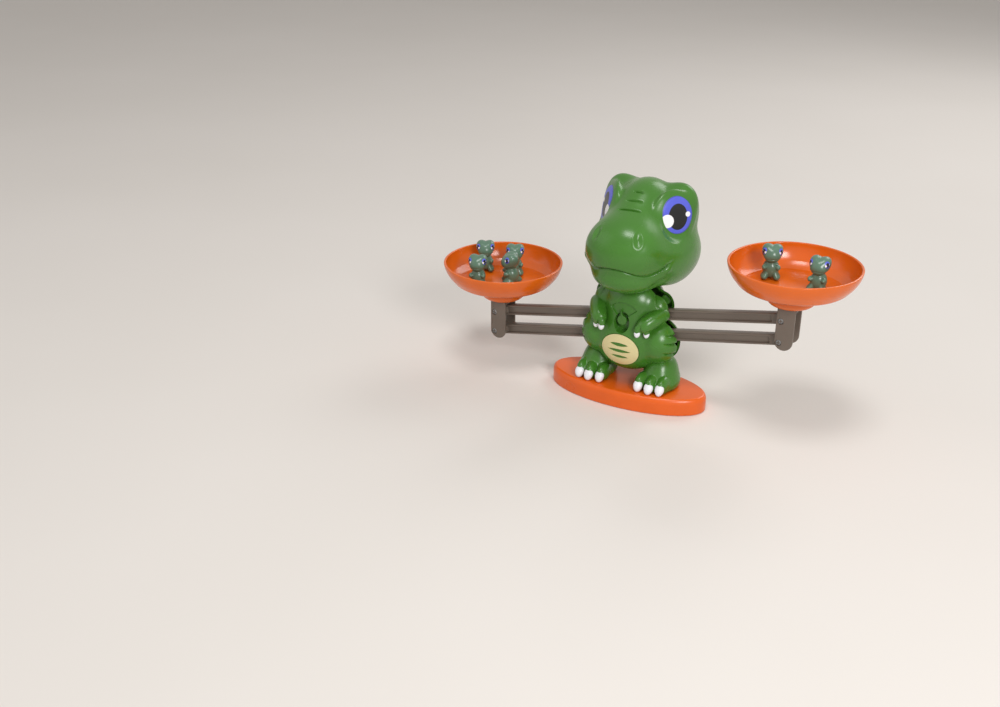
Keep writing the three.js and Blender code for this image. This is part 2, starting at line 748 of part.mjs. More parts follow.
// Beams: a grooved bar with a round hub and a round eye at each end, leaning about its pivot
function beam() {
  const low = -pivotRise - beamHeight / 2;
  const high = -pivotRise + beamHeight / 2;
  const half = beamThick / 2;
  const bar = block(-armLength, armLength, -half, half, low, high);
  const eyes = [-1, 1].map(
    (side) => rodY(side * armLength, -pivotRise, beamHeight / 2, -half, half, 16),
  );
  const hub = rodY(0, 0, hubRadius, -hubThick / 2, hubThick / 2, 20);
  const from = hubRadius + beamHeight / 2;
  const to = armLength - beamHeight;
  const grooves = [];
  for (const side of [-1, 1]) {
    for (const face of [-1, 1]) {
      const inner = face * (half - beamGroove);
      const outer = face * (half + over);
      grooves.push(block(
        Math.min(side * from, side * to), Math.max(side * from, side * to),
        Math.min(inner, outer), Math.max(inner, outer),
        low + beamFlange, high - beamFlange,
      ));
    }
  }
  const pins = [-1, 1].map(
    (side) => rodY(side * armLength, -pivotRise, screwHole, -beamThick, beamThick, 8),
  );
  const bore = rodY(0, 0, bearingHole, -hubThick, hubThick);
  return cut(join(bar, ...eyes, hub), ...grooves, ...pins, bore);
}
for (const [name, height] of [['upper_beam', upperPivot], ['lower_beam', lowerPivot]]) {
  const item = place(name, beam(), taupe);
  item.position.z = height;
  item.rotation.y = -lean;
}

// The shaft that turns with the upper beam and carries the pointer, and the fixed lower pin
const pointerFace = chest + gap;
const shaftFront = pointerFace + pointerThick / 2;
const shaftBack = slotGap + bearingDepth - gap;
place('upper_pivot_shaft', rodY(0, upperPivot, shaftRadius, shaftFront, shaftBack), steel);
place('lower_pivot_pin', rodY(0, lowerPivot, shaftRadius, -shaftBack, shaftBack), steel);

function pointer() {
  const needle = new THREE.Shape();
  needle.moveTo(-needleWidth / 2, 0);
  needle.lineTo(needleWidth / 2, 0);
  needle.lineTo(needleWidth / 8, needleLength);
  needle.lineTo(-needleWidth / 8, needleLength);
  needle.closePath();
  const back = windowBack - gap;
  return cut(
    join(
      rodY(0, 0, pointerRadius, pointerFace, pointerFace + pointerThick, 24),
      plateY(needle, pointerFace + gap, pointerFace + pointerThick),
      rodY(0, 0, bearingHole + neckWall / 2, pointerFace, back, 16),
    ),
    rodY(0, 0, shaftRadius + gap, shaftFront - gap, far, 16),
  );
}
const hand = place('pointer', pointer(), green);
hand.position.z = upperPivot;
hand.rotation.y = -lean;

// Posts, their screws and the pans
function postOutline() {
  const low = -pivotSpacing - postToe + postWidth / 2;
  const outline = new THREE.Shape();
  outline.moveTo(postOffset - postWidth / 2, postTop);
  outline.lineTo(postOffset - postWidth / 2, low);
  outline.absarc(postOffset, low, postWidth / 2, Math.PI, Math.PI * 2, false);
  outline.lineTo(postOffset + postWidth / 2, postTop);
  outline.closePath();
  return outline;
}

function post() {
  const face = postDepth / 2;
  const seat = beamThick / 2 + gap;
  const inside = postOffset - postWidth / 2;
  const outside = postOffset + postWidth / 2;
  const pins = [0, -pivotSpacing];
  return cut(
    join(
      plateY(postOutline(), -face, -face + postPlate),
      plateY(postOutline(), face - postPlate, face),
      block(inside, outside, -face, face, postTop - postBridge, postTop),
      rodZ(postOffset, 0, spigotRadius, postTop - postBridge, postTop + spigotHeight, 16),
      ...pins.map((z) => rodY(0, z, bossRadius, -face + gap, -seat)),
      ...pins.map((z) => rodY(0, z, bossRadius, seat, face - gap)),
    ),
    ...pins.map((z) => rodY(0, z, screwHole, -far, face - postPlate / 2, 8)),
    ...pins.map((z) => rodY(0, z, headHole, -far, -face + counterbore, 12)),
  );
}

// The pan's section: foot, flare, underside, bowl, floor and the socket for the post's spigot
const footStepShares = [0, 0.5, 1];
const bowlStepShares = [0, 0.33, 0.67, 1];
const bowlPower = 1.2;      // above 1 the bowl's side turns up more sharply
function panProfile() {
  const foot = footStepShares.map((t) => [
    panFootRadius + (panFootFlare - panFootRadius) * Math.sin(t * Math.PI / 2),
    panFootRound * (1 - Math.cos(t * Math.PI / 2)),
  ]);
  const under = panFloorHeight - panWall;
  const bowlFrom = panFloorRadius - panWall * 3;
  const bowl = (from, low, top) => bowlStepShares.map((t) => [
    from + (top - from) * Math.sin(t * Math.PI / 2) ** bowlPower,
    low + (panHeight - low) * (1 - Math.cos(t * Math.PI / 2) ** bowlPower),
  ]);
  const socket = spigotRadius + gap;
  const socketTop = spigotHeight + gap;
  return [
    [socket, 0],
    ...foot,
    [panFootFlare, under],
    ...bowl(bowlFrom, under, panRadius),
    ...bowl(panFloorRadius, panFloorHeight, panRadius - panWall).reverse(),
    [0, panFloorHeight],
    [0, socketTop],
    [socket, socketTop],
    [socket, 0],
  ];
}

// Where the counting figures stand: side, place as shares of the pan's radius, turn in degrees
const figurePlaceShares = [
  [-1, -0.27, -0.38, 20],
  [-1, -0.52, 0.29, 28],
  [-1, 0.167, -0.03, -55],
  [-1, 0.01, 0.385, 28],
  [1, -0.41, 0.15, 20],
  [1, 0.367, 0.167, 0],
];
const figureShares = [
  [0, 0.02, -0.22, 0.4, 0.42, 0.26, 0],
  [0, -0.03, 0.25, 0.5, 0.52, 0.25, 0.05],
  [0.27, 0, 0.38, 0.2, 0.3, 0.13, 0.05],
  [0.3, -0.2, -0.42, 0.2, 0.33, 0.1, 0.02],
  [0, 0.45, -0.38, 0.14, 0.25, 0.1, 0.06],
];
const figureSize = [figureWidth, figureWidth, figureHeight];
const figureField = form(figureShares, figureSize, [0, 0, figureHeight / 2]);
const figureCentreShare = 0.45;
const figureCentre = [0, 0, figureCentreShare * figureHeight];
const figureGrid = moulded(figureField, figureCentre, figureHeight, 0, 12, 9);
const figure = cut(figureGrid, block(-far, far, -far, far, -far, 0));

const panSeats = {};
for (const [side, word] of [[-1, 'left'], [1, 'right']]) {
  const [x, z] = beamEnd(side, upperPivot);
  const item = place(`${word}_post`, post(), taupe);
  item.position.set(x, 0, z);
  ['upper', 'lower'].forEach((level, i) => {
    const screw = screwY(0, -i * pivotSpacing, -postDepth / 2 + gap, postDepth - postPlate - gap * 2, 1);
    place(`${word}_${level}_screw`, screw, steel).position.set(x, 0, z);
  });
  const seat = z + postTop + gap;
  place(`${word}_pan`, turned(panProfile()), orangePan).position.set(x + postOffset, 0, seat);
  panSeats[side] = [x + postOffset, seat + panFloorHeight + gap];
}
figurePlaceShares.forEach(([side, x, y, turn], i) => {
  const [panX, floor] = panSeats[side];
  const item = place(`figure_${i + 1}`, figure, slate);
  item.position.set(panX + x * panRadius, y * panRadius, floor);
  item.rotation.z = radians(turn);
});

export default group;
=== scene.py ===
import math

import bpy
import numpy as np
from mathutils import Matrix, Vector


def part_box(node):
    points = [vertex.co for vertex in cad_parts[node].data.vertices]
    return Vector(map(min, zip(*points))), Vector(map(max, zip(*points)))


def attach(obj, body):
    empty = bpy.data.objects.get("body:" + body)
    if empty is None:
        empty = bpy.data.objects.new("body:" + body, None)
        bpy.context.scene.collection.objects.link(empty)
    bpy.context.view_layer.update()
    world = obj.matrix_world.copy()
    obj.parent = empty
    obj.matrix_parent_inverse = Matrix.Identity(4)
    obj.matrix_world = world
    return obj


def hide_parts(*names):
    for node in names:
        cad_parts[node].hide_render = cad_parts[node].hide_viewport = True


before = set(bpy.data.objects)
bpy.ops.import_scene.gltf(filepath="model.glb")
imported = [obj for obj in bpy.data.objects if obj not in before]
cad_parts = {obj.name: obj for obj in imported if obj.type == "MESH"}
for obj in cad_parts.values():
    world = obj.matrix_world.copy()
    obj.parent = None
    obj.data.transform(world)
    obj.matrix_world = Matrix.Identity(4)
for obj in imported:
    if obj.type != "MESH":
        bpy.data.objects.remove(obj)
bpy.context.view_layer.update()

# Number balance with a toy dinosaur. Lengths are in millimetres until a mesh is written.
# X runs along the beams, the dinosaur looks towards -Y, and Z = 0 is the table.
MM = 0.001


# ---- camera, as in the photograph
def aim_camera():
    """Places the camera on a ray from the target: back along the sight line by the distance."""
    yaw, pitch, roll = (math.radians(v) for v in (28.17, 26.76, 0.935))
    back = Vector((math.sin(yaw) * math.cos(pitch), -math.cos(yaw) * math.cos(pitch),
                   math.sin(pitch)))
    right = Vector((math.cos(yaw), math.sin(yaw), 0))
    up = back.cross(right)
    side = right * math.cos(roll) + up * math.sin(roll)
    top = up * math.cos(roll) - right * math.sin(roll)
    lens = bpy.data.cameras.new("camera")
    lens.sensor_width = 36
    lens.lens = 43.017
    lens.shift_x = -0.03717
    lens.shift_y = 0.04125
    lens.clip_start = 0.05
    camera = bpy.data.objects.new("camera", lens)
    turn = Matrix((side, top, back)).transposed().to_4x4()
    camera.matrix_world = Matrix.Translation(Vector((0.3897, -0.9043, 0.4901))) @ turn
    bpy.context.scene.collection.objects.link(camera)
    bpy.context.scene.camera = camera


aim_camera()


# ---- places taken from the frame
def corners_of(node):
    """Lowest and highest corner of a CAD node, in millimetres."""
    low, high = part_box(node)
    return np.array(low) / MM, np.array(high) / MM


def middle_of(node):
    """Centre of a CAD node's box, in millimetres."""
    low, high = corners_of(node)
    return (low + high) / 2


LEFT_PIN = middle_of("left_upper_screw")[[0, 2]]
RIGHT_PIN = middle_of("right_upper_screw")[[0, 2]]
LEAN = math.atan2(RIGHT_PIN[1] - LEFT_PIN[1], RIGHT_PIN[0] - LEFT_PIN[0])
UPPER_PIVOT = middle_of("upper_pivot_shaft")[2]
LOWER_PIVOT = middle_of("lower_pivot_pin")[2]
PIVOT_SPACING = UPPER_PIVOT - LOWER_PIVOT
BOARD_TOP = corners_of("base_board")[1][2]


# ---- meshes
MERGE_STEPS = 1000  # points in the same thousandth of a millimetre become one
OFF_ROUND = 0.123456789  # moves round numbers away from the edges of those steps


def places(x, y, z):
    """Points from their coordinates, each of them a number or an array."""
    return np.stack(np.broadcast_arrays(x, y, z), axis=-1)


def cells(rows, columns):
    """The four-cornered faces of a grid, as row * columns + column for each corner."""
    index = np.arange(rows * columns).reshape(rows, columns)
    around = [index[:-1, :-1], index[1:, :-1], index[1:, 1:], index[:-1, 1:]]
    return np.stack(around, axis=-1).reshape(-1, 4)


def gathered(parts):
    """The points and the faces of several parts, each as one array."""
    bases = np.cumsum([0] + [len(points) for points, _ in parts])
    return (np.concatenate([points for points, _ in parts]),
            np.concatenate([faces + base for (_, faces), base in zip(parts, bases)]))


def solid(*grids, toward=None):
    """Joins grids of points (rows x columns x 3) into one surface of four-cornered faces.

    Points that fall on each other become one, so poles and seams close. The faces are turned
    round if the surface's signed volume is negative, or, for an open sheet, if the mean of its
    normals doesn't point toward the given direction.
    """
    points, faces = gathered([(grid.reshape(-1, 3), cells(*grid.shape[:2])) for grid in grids])
    key = np.round((points + OFF_ROUND) * MERGE_STEPS).astype(np.int64)
    _, first, place = np.unique(key, axis=0, return_index=True, return_inverse=True)
    points, faces = points[first], place.reshape(-1)[faces]
    a, b, c, d = (points[faces[:, i]] for i in range(4))
    if toward is None:
        sense = np.sum(a * (np.cross(b, c) + np.cross(c, d)))
    else:
        sense = np.sum(np.cross(c - a, d - b) @ np.array(toward, float))
    return points, faces[:, ::-1] if sense < 0 else faces


def shape(name, solids, crease=55):
    """Writes solids into one smooth mesh, with sharp edges where faces meet above the crease."""
    points, faces = gathered(solids)
    keep = faces != np.roll(faces, 1, axis=1)
    real = keep.sum(axis=1) >= 3
    faces, keep = faces[real], keep[real]
    corners = keep.sum(axis=1)
    mesh = bpy.data.meshes.new(name)
    mesh.vertices.add(len(points))
    mesh.vertices.foreach_set("co", (points * MM).ravel())
    mesh.loops.add(int(corners.sum()))
    mesh.loops.foreach_set("vertex_index", faces[keep].astype(np.int32))
    mesh.polygons.add(len(faces))
    starts = np.concatenate([[0], np.cumsum(corners)[:-1]]).astype(np.int32)
    mesh.polygons.foreach_set("loop_start", starts)
    mesh.polygons.foreach_set("use_smooth", np.ones(len(faces), dtype=bool))
    mesh.update(calc_edges=True)
    mesh.validate()
    mesh.set_sharp_from_angle(angle=math.radians(crease))
    part = bpy.data.objects.new(name, mesh)
    bpy.context.scene.collection.objects.link(part)
    return part


def dress(part, look, body):
    """Gives a piece the finish of its look, which is a slot and a finish, and lets it ride on a
    body.
    """
    slot, finish = look
    part.data.materials.append(finish)
    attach(part, body)
    return part


def fit(node, solids, look, body="stand", crease=55):
    """Makes the piece that stands for a CAD node."""
    part = dress(shape(f"{node}_surface", solids, crease), look, body)
    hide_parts(node)
    return part


# ---- shapes from profiles
def closed(loop):
    """A loop of points with its first point added at the end."""
    return np.concatenate([loop, loop[:1]])


def quarter(count):
    """Angles from 0 to a right angle."""
    return np.linspace(0, np.pi / 2, count)


def once_round(columns):
    """Angles once round, with the first one again at the end."""
    return closed(np.linspace(0, 2 * np.pi, columns, endpoint=False))


def unit(ways):
    """Directions made one long."""
    return ways / np.linalg.norm(ways, axis=-1, keepdims=True)


def filleted(points, rounds, steps):
    """A line through the points whose inner corners are rounded by quadratic curves.

    Each corner P with neighbours A and B becomes (1-t)^2 a + 2t(1-t) P + t^2 b, where a and b
    lie on the two sides at the corner's round from P, or just short of a side's middle.
    """
    points = np.array(points, float)
    t = np.linspace(0, 1, steps)[:, None]
    line = [points[:1]]
    for i in range(1, len(points) - 1):
        corner = points[i]
        a, b = (corner + (end - corner) * min(rounds[i] / np.linalg.norm(end - corner), 0.49)
                for end in (points[i - 1], points[i + 1]))
        line.append((1 - t) ** 2 * a + 2 * t * (1 - t) * corner + t ** 2 * b)
    line.append(points[-1:])
    return np.concatenate(line)


def turned(profile, x, z, columns):
    """A profile (radius, height) turned about the upright line at x on Y = 0, from z up."""
    turn = once_round(columns)
    radius, height = profile[:, :1], profile[:, 1:]
    return solid(places(x + radius * np.cos(turn), radius * np.sin(turn), z + height))


def prism(outline, normals, stations):
    """An outline carried along Y: at each station (y, inset) it is moved in by the inset.

    Point = outline - normal * inset at that y, and both ends close to the outline's middle.
    """
    loop, out = closed(outline), closed(normals)
    flat = loop[None] - out[None] * stations[:, 1, None, None]
    grid = places(flat[..., 0], stations[:, :1], flat[..., 1])
    x, z = np.mean(outline, axis=0)
    first, last = (places(np.full((1, len(loop)), x), y, z) for y in stations[[0, -1], 0])
    return solid(np.concatenate([first, grid, last]))


def edge(y0, y1, round_off):
    """Stations (y, inset) of a plate between y0 and y1 with quarter-round edges."""
    turn = quarter(5)
    inset = round_off * (1 - np.sin(turn))
    step = round_off * (1 - np.cos(turn)) * np.sign(y1 - y0)
    return np.concatenate([np.stack([y0 + step, inset], 1),
                           np.stack([y1 - step[::-1], inset[::-1]], 1)])


def disc(x, z, radius, y0, y1, round_off, columns=48):
    """A round rod along Y with rounded edges."""
    turn = np.linspace(0, 2 * np.pi, columns, endpoint=False)
    out = np.stack([np.cos(turn), np.sin(turn)], axis=1)
    return prism(np.array([x, z]) + out * radius, out, edge(y0, y1, round_off))


def rounded_block(low, high, radius):
    """A block along Y: a rectangle with corner arcs, and ends rounded by the same radius."""
    turn = quarter(7)
    arc = np.stack([np.cos(turn), np.sin(turn)], axis=1)
    outs, spots = [], []
    for sx, sz in ((1, 1), (-1, 1), (-1, -1), (1, -1)):
        way = (arc if sx * sz > 0 else arc[::-1]) * (sx, sz)
        corner = np.array([high[0] if sx > 0 else low[0], high[2] if sz > 0 else low[2]])
        outs.append(way)
        spots.append(corner - np.array([sx, sz]) * radius + way * radius)
    return prism(np.concatenate(spots), np.concatenate(outs), edge(low[1], high[1], radius))


def leaned(part, height):
    """Turns a solid drawn level about the Y axis by the beams' lean and lifts it to a height."""
    points, faces = part
    c, s = math.cos(LEAN), math.sin(LEAN)
    turn = np.array([[c, 0, s], [0, 1, 0], [-s, 0, c]])
    return points @ turn + (0, 0, height), faces


def spun(points, turn):
    """Points turned about Z by an angle in degrees."""
    c, s = math.cos(math.radians(turn)), math.sin(math.radians(turn))
    return points @ np.array([[c, s, 0], [-s, c, 0], [0, 0, 1]])


# ---- moulded forms
def swelling(p, centre, size):
    """Distance to an ellipsoid: with q = (p - centre)/size and g = q/size it is |q|(|q|-1)/|g|."""
    q = (p - centre) / size
    k = np.linalg.norm(q, axis=-1)
    return k * (k - 1) / np.maximum(np.linalg.norm(q / size, axis=-1), 1e-6)


def soft_min(a, b, blend):
    """The smaller of two distances, rounded off where they differ by less than the blend."""
    if blend <= 0:
        return np.minimum(a, b)
    h = np.clip(0.5 + 0.5 * (b - a) / blend, 0, 1)
    return b * (1 - h) + a * h - blend * h * (1 - h)


def soft_max(a, b, blend):
    """The larger of two distances, rounded off in the same way."""
    return -soft_min(-a, -b, blend)


def step_up(value, start, end):
    """0 before start, 1 after end and 3t^2 - 2t^3 between them."""
    t = np.clip((value - start) / (end - start), 0, 1)
    return t * t * (3 - 2 * t)


def folded(p):
    """Places folded over the middle plane, so that both sides are alike."""
    return places(np.abs(p[..., 0]), p[..., 1], p[..., 2])


def joined(total, p, blobs):
    """A distance to which ellipsoids (centre, size, blend) are joined in turn."""
    for centre, size, blend in blobs:
        total = soft_min(total, swelling(p, centre, size), blend)
    return total


def form(blobs, side=0):
    """A field of joined ellipsoids, alike on both sides, or on the side -1 or 1 only."""
    def field(p):
        return joined(np.inf, p * (side, 1, 1) if side else folded(p), blobs)
    return field


def rod_distance(p, a, b, out=None):
    """Distance to the line from a to b, and how far along it the nearest point lies.

    The part of the distance along the direction out counts for a tenth, so that a line which
    was placed a little above or below the skin still marks it.
    """
    a, b = np.array(a, float), np.array(b, float)
    t = np.clip(((p - a) @ (b - a)) / np.sum((b - a) ** 2), 0, 1)
    away = p - a - t[..., None] * (b - a)
    if out is not None:
        out = unit(np.array(out, float))
        away = away - 0.9 * (away @ out)[..., None] * out
    return np.linalg.norm(away, axis=-1), t


def groove(distance, width):
    """How much of a line's depth is left at a distance from it: exp(-(distance/width)^2)."""
    return np.exp(-(distance / width) ** 2)


def rays(toward, down, turn):
    """Unit directions: cos(down) along toward, a direction square to X, plus sin(down) round it
    at the turn, which starts at X."""
    toward, side = np.array(toward, float), np.array([1.0, 0, 0])
    up = np.cross(toward, side)
    down, turn = np.broadcast_arrays(down, turn)
    round_it = np.cos(turn)[..., None] * side + np.sin(turn)[..., None] * up
    return np.cos(down)[..., None] * toward + np.sin(down)[..., None] * round_it


def reach(field, centre, ways, far):
    """How far each ray goes from the centre to the field's outermost zero.

    Starts at far and comes in 45 times by three quarters of the field's distance.
    """
    t = np.full(ways.shape[:-1], float(far))
    for _ in range(45):
        t = t - 0.75 * field(centre + ways * t[..., None])
    return np.maximum(t, 0.05)


def ball(field, centre, far, rows, columns):
    """A closed surface: every direction of a globe's grid goes out to the field's zero."""
    ways = rays((0, 0, 1), np.linspace(0, np.pi, rows)[:, None], once_round(columns)[None])
    return solid(centre + ways * reach(field, centre, ways, far)[..., None])


BEYOND_SHELLS = 85  # rays start this far out
RIM_ROUND = ((0.04, 0.28), (0.16, 0.1), (0.5, 0))  # (inset, gap to the seam)
WALL_BEHIND = 1.3  # wall left behind what is pressed in


def unpressed(p, behind=0):
    """A skin with nothing pressed into it."""
    return p


def half_shell(plain, detailed, centre, front, seam, wall, rows, columns, press=unpressed):
    """Half of a moulded shell, open towards the seam, which is a plane across Y.

    Rays leave the centre in rings round the Y axis. Each ring's angle d goes from 0 to the one
    where the ray meets the seam, which follows from R cos d = seam - centre. The rim turns in
    with a small round, crosses the wall and goes back along the inside at the plain form's
    distance less the wall. What is pressed into the outside pushes the inside ahead of it.
    """
    centre, turn = np.array(centre, float), once_round(columns)
    last = np.full(turn.shape, np.pi / 2)
    stop = (seam - centre[1]) * front - 0.5
    for _ in range(10):
        ways = rays((0, front, 0), last, turn)
        distance = reach(plain, centre, ways, BEYOND_SHELLS)
        last = np.arccos(np.clip(stop / distance, -0.99, 0.99))
    ways = rays((0, front, 0), np.linspace(0, 1, rows)[:, None] * last, turn[None])
    outer = press(centre + ways * reach(detailed, centre, ways, BEYOND_SHELLS)[..., None])
    across = np.array([1, 0, 1])
    lip = outer[-1] * across
    inward = unit(centre * across - lip)
    rim = [lip + inward * inset + (0, seam - front * gap, 0)
           for inset, gap in RIM_ROUND + ((wall, 0),)]
    back = rays((0, front, 0), np.linspace(1, 0, 24)[:, None] * last, turn[None])
    inner = centre + back * (reach(plain, centre, back, BEYOND_SHELLS)[..., None] - wall)
    limit = np.maximum if front > 0 else np.minimum
    inner[..., 1] = limit(inner[..., 1], seam)
    return solid(np.concatenate([outer, np.stack(rim), press(inner, WALL_BEHIND)[1:]]))


# ---- finishes
def linear(code):
    """A colour from its sRGB hex code to linear values."""
    parts = [int(code[i:i + 2], 16) / 255 for i in (0, 2, 4)]
    return tuple(v / 12.92 if v <= 0.04045 else ((v + 0.055) / 1.055) ** 2.4 for v in parts) + (1,)


def add(tree, kind, inputs=None, **settings):
    """Adds a shader node with its settings; an input is a value or another node's output."""
    node = tree.nodes.new("ShaderNode" + kind)
    for key, value in settings.items():
        setattr(node, key, value)
    for key, value in (inputs or {}).items():
        if isinstance(value, bpy.types.NodeSocket):
            tree.links.new(value, node.inputs[key])
        else:
            node.inputs[key].default_value = value
    return node


def material(name, pattern):
    """A new material. The pattern adds its nodes and says what goes into the shader."""
    finish = bpy.data.materials.new(name)
    finish.use_nodes = True
    tree = finish.node_tree
    tree.nodes.clear()
    place = add(tree, "TexCoord").outputs["Object"]
    shader = add(tree, "BsdfPrincipled", pattern(tree, place))
    add(tree, "OutputMaterial", {"Surface": shader.outputs["BSDF"]})
    return finish


def moulded(code, roughness, shade, dent=0.02):
    """Injection-moulded plastic of one colour.

    Its colour drifts a little over some 30 mm, as melt flow leaves it. The gloss drifts too, and
    a faint grain just under a millimetre across breaks the highlights.
    """
    flow_width, grain_width, gloss_drift = 30 * MM, 0.9 * MM, 0.03

    def pattern(tree, place):
        flow = add(tree, "TexNoise", {"Vector": place, "Scale": 1 / flow_width, "Detail": 2.0,
                                      "Distortion": 0.4})
        fine = add(tree, "TexNoise", {"Vector": place, "Scale": 1 / grain_width, "Detail": 3.0})
        ramp = add(tree, "ValToRGB", {"Fac": flow.outputs["Fac"]})
        for stop, at, gain in zip(ramp.color_ramp.elements, (0.3, 0.7), (1 - shade, 1 + shade)):
            stop.position = at
            stop.color = tuple(min(v * gain, 1) for v in linear(code)[:3]) + (1,)
        gloss = add(tree, "MapRange", {"Value": flow.outputs["Fac"], "From Min": 0.3,
                                       "From Max": 0.7, "To Min": roughness - gloss_drift,
                                       "To Max": roughness + gloss_drift})
        bump = add(tree, "Bump", {"Height": fine.outputs["Fac"], "Strength": 0.35,
                                  "Distance": dent * MM})
        return {"Base Color": ramp.outputs["Color"], "Roughness": gloss.outputs["Result"],
                "Normal": bump.outputs["Normal"], "IOR": 1.52}
    return pattern


def plated_steel(tree, place):
    """Zinc-plated turned steel: bright grey, with clouds of 1.5 mm where the plating is duller."""
    cloud_width = 1.5 * MM
    cloud = add(tree, "TexNoise", {"Vector": place, "Scale": 1 / cloud_width, "Detail": 3.0})
    ramp = add(tree, "ValToRGB", {"Fac": cloud.outputs["Fac"]})
    for stop, code in zip(ramp.color_ramp.elements, ("6f7275", "b4b6b8")):
        stop.color = linear(code)
    gloss = add(tree, "MapRange", {"Value": cloud.outputs["Fac"], "To Min": 0.25, "To Max": 0.45})
    return {"Base Color": ramp.outputs["Color"], "Metallic": 1.0,
            "Roughness": gloss.outputs["Result"]}


PRINT_FIELD = 40  # millimetres across the square of the eye's UV map
PRINT_EDGE = 0.3  # how soft a printed edge is, in millimetres
# Each printed oval: its middle and half sizes, its colour, and whether it lies outside the oval.
EYE_OVALS = (((0, 0, 14.2, 15.4), "4a4fa8", True), ((0.4, -1.5, 9.5, 11.1), "1b1d1f", False),
             ((-10.1, -5.2, 6.4, 5.6), "fbfbfd", False), ((10.3, 0.7, 2.4, 2.2), "fbfbfd", False))


def printed_eye(tree, object_place):
    """Glossy ABS with a pad-printed eye: blue-violet iris with a darker edge, black pupil, glints.

    The piece's own UV map holds places across the eye as u/40 + 0.5 and v/40 + 0.5 in mm. Each
    oval (a, b, ra, rb) covers the places inside it, or outside it where that is said. A place is
    inside where ((u - a)/ra)^2 + ((v - b)/rb)^2 is below 1.
    """
    ink_width = 1.2 * MM
    face = add(tree, "UVMap", uv_map="face").outputs["UV"]
    face = add(tree, "SeparateXYZ", {"Vector": face}).outputs
    ink = add(tree, "TexNoise", {"Vector": object_place, "Scale": 1 / ink_width})
    tint = add(tree, "ValToRGB", {"Fac": ink.outputs["Fac"]})
    for stop, code in zip(tint.color_ramp.elements, ("5560d6", "6069de")):
        stop.color = linear(code)
    colour = tint.outputs["Color"]
    for (a, b, ra, rb), code, outside in EYE_OVALS:
        squares = []
        for socket, centre, size in ((face["X"], a, ra), (face["Y"], b, rb)):
            place = add(tree, "Math", {0: socket, 1: PRINT_FIELD / size,
                                       2: -(PRINT_FIELD / 2 + centre) / size},
                        operation="MULTIPLY_ADD").outputs[0]
            squares.append(add(tree, "Math", {0: place, 1: place}, operation="MULTIPLY").outputs[0])
        both = add(tree, "Math", {0: squares[0], 1: squares[1]}, operation="ADD")
        soft = PRINT_EDGE / min(ra, rb)
        share = add(tree, "MapRange", {"Value": both.outputs[0], "From Min": 1 - soft,
                                       "From Max": 1 + soft, "To Min": 0.0 if outside else 1.0,
                                       "To Max": 1.0 if outside else 0.0})
        colour = add(tree, "Mix", {0: share.outputs["Result"], 6: colour, 7: linear(code)},
                     data_type="RGBA").outputs[2]
    bump = add(tree, "Bump", {"Height": ink.outputs["Fac"], "Strength": 0.2, "Distance": 0.01 * MM})
    gloss = add(tree, "MapRange", {"Value": ink.outputs["Fac"], "To Min": 0.3, "To Max": 0.36})
    return {"Base Color": colour, "Roughness": gloss.outputs["Result"],
            "Normal": bump.outputs["Normal"], "IOR": 1.5}


# Looks: the slot of each finish, and the finish.
GREEN = "green", material("green_moulded_abs", moulded("407824", 0.27, 0.06))
ORANGE = "orange", material("orange_moulded_abs", moulded("e25f0d", 0.3, 0.04))
PAN_ORANGE = "orange", material("orange_polished_abs", moulded("dd6410", 0.2, 0.05))
BROWN = "grey_brown", material("grey_brown_moulded_abs", moulded("6c6157", 0.33, 0.05))
CREAM = "cream", material("cream_moulded_abs", moulded("dccf9a", 0.4, 0.03, dent=0.03))
WHITE = "white", material("white_moulded_abs", moulded("eeeef4", 0.35, 0.01))
SLATE = "figure", material("slate_green_moulded_pvc", moulded("5a7a66", 0.24, 0.08))
STEEL = "steel", material("zinc_plated_steel", plated_steel)
EYE = "eye", material("pad_printed_gloss_abs", printed_eye)


# ---- base
BOARD_WALL = 2.5
EDGE_DEEP, EDGE_TALL = 3.4, 5.4  # half sizes of the upper edge's ellipse
EDGE_ZONE = 7  # how far in the outline stays at an even inset


def board():
    """The board's oval carried up a profile of (inset, height): the inside, the foot rim, the
    side, a quarter of an ellipse for the upper edge and the flat top.

    In the edge's zone both half axes shrink by the inset, and further in they end together.
    """
    low, high = corners_of("base_board")
    centre, half = (low + high) / 2, (high - low) / 2
    top, width = high[2], half[1]
    t = quarter(14)
    over_edge = np.stack([EDGE_DEEP * (1 - np.cos(t)), top - EDGE_TALL + EDGE_TALL * np.sin(t)],
                         axis=1)
    inside = filleted([(width, top - BOARD_WALL), (BOARD_WALL + EDGE_DEEP, top - BOARD_WALL),
                       (BOARD_WALL, top - EDGE_TALL), (BOARD_WALL, 0.1), (0.3, 0.0), (0, 0.6),
                       (0, top - 6)], [0, 1.5, 1.5, 0.2, 0.2, 0.3, 0], 4)
    profile = np.concatenate([inside, over_edge, [(8, top), (width * 0.6, top), (width, top)]])
    inset, height = profile[:, :1], profile[:, 1:]
    share = np.clip(inset / width, 0, 1)
    long = np.where(inset > EDGE_ZONE, half[0] * (1 - share), half[0] - inset)
    turn = once_round(240)
    return solid(places(centre[0] + long * np.cos(turn),
                        centre[1] + (width - inset) * np.sin(turn), height))


fit("base_board", [board()], ORANGE)


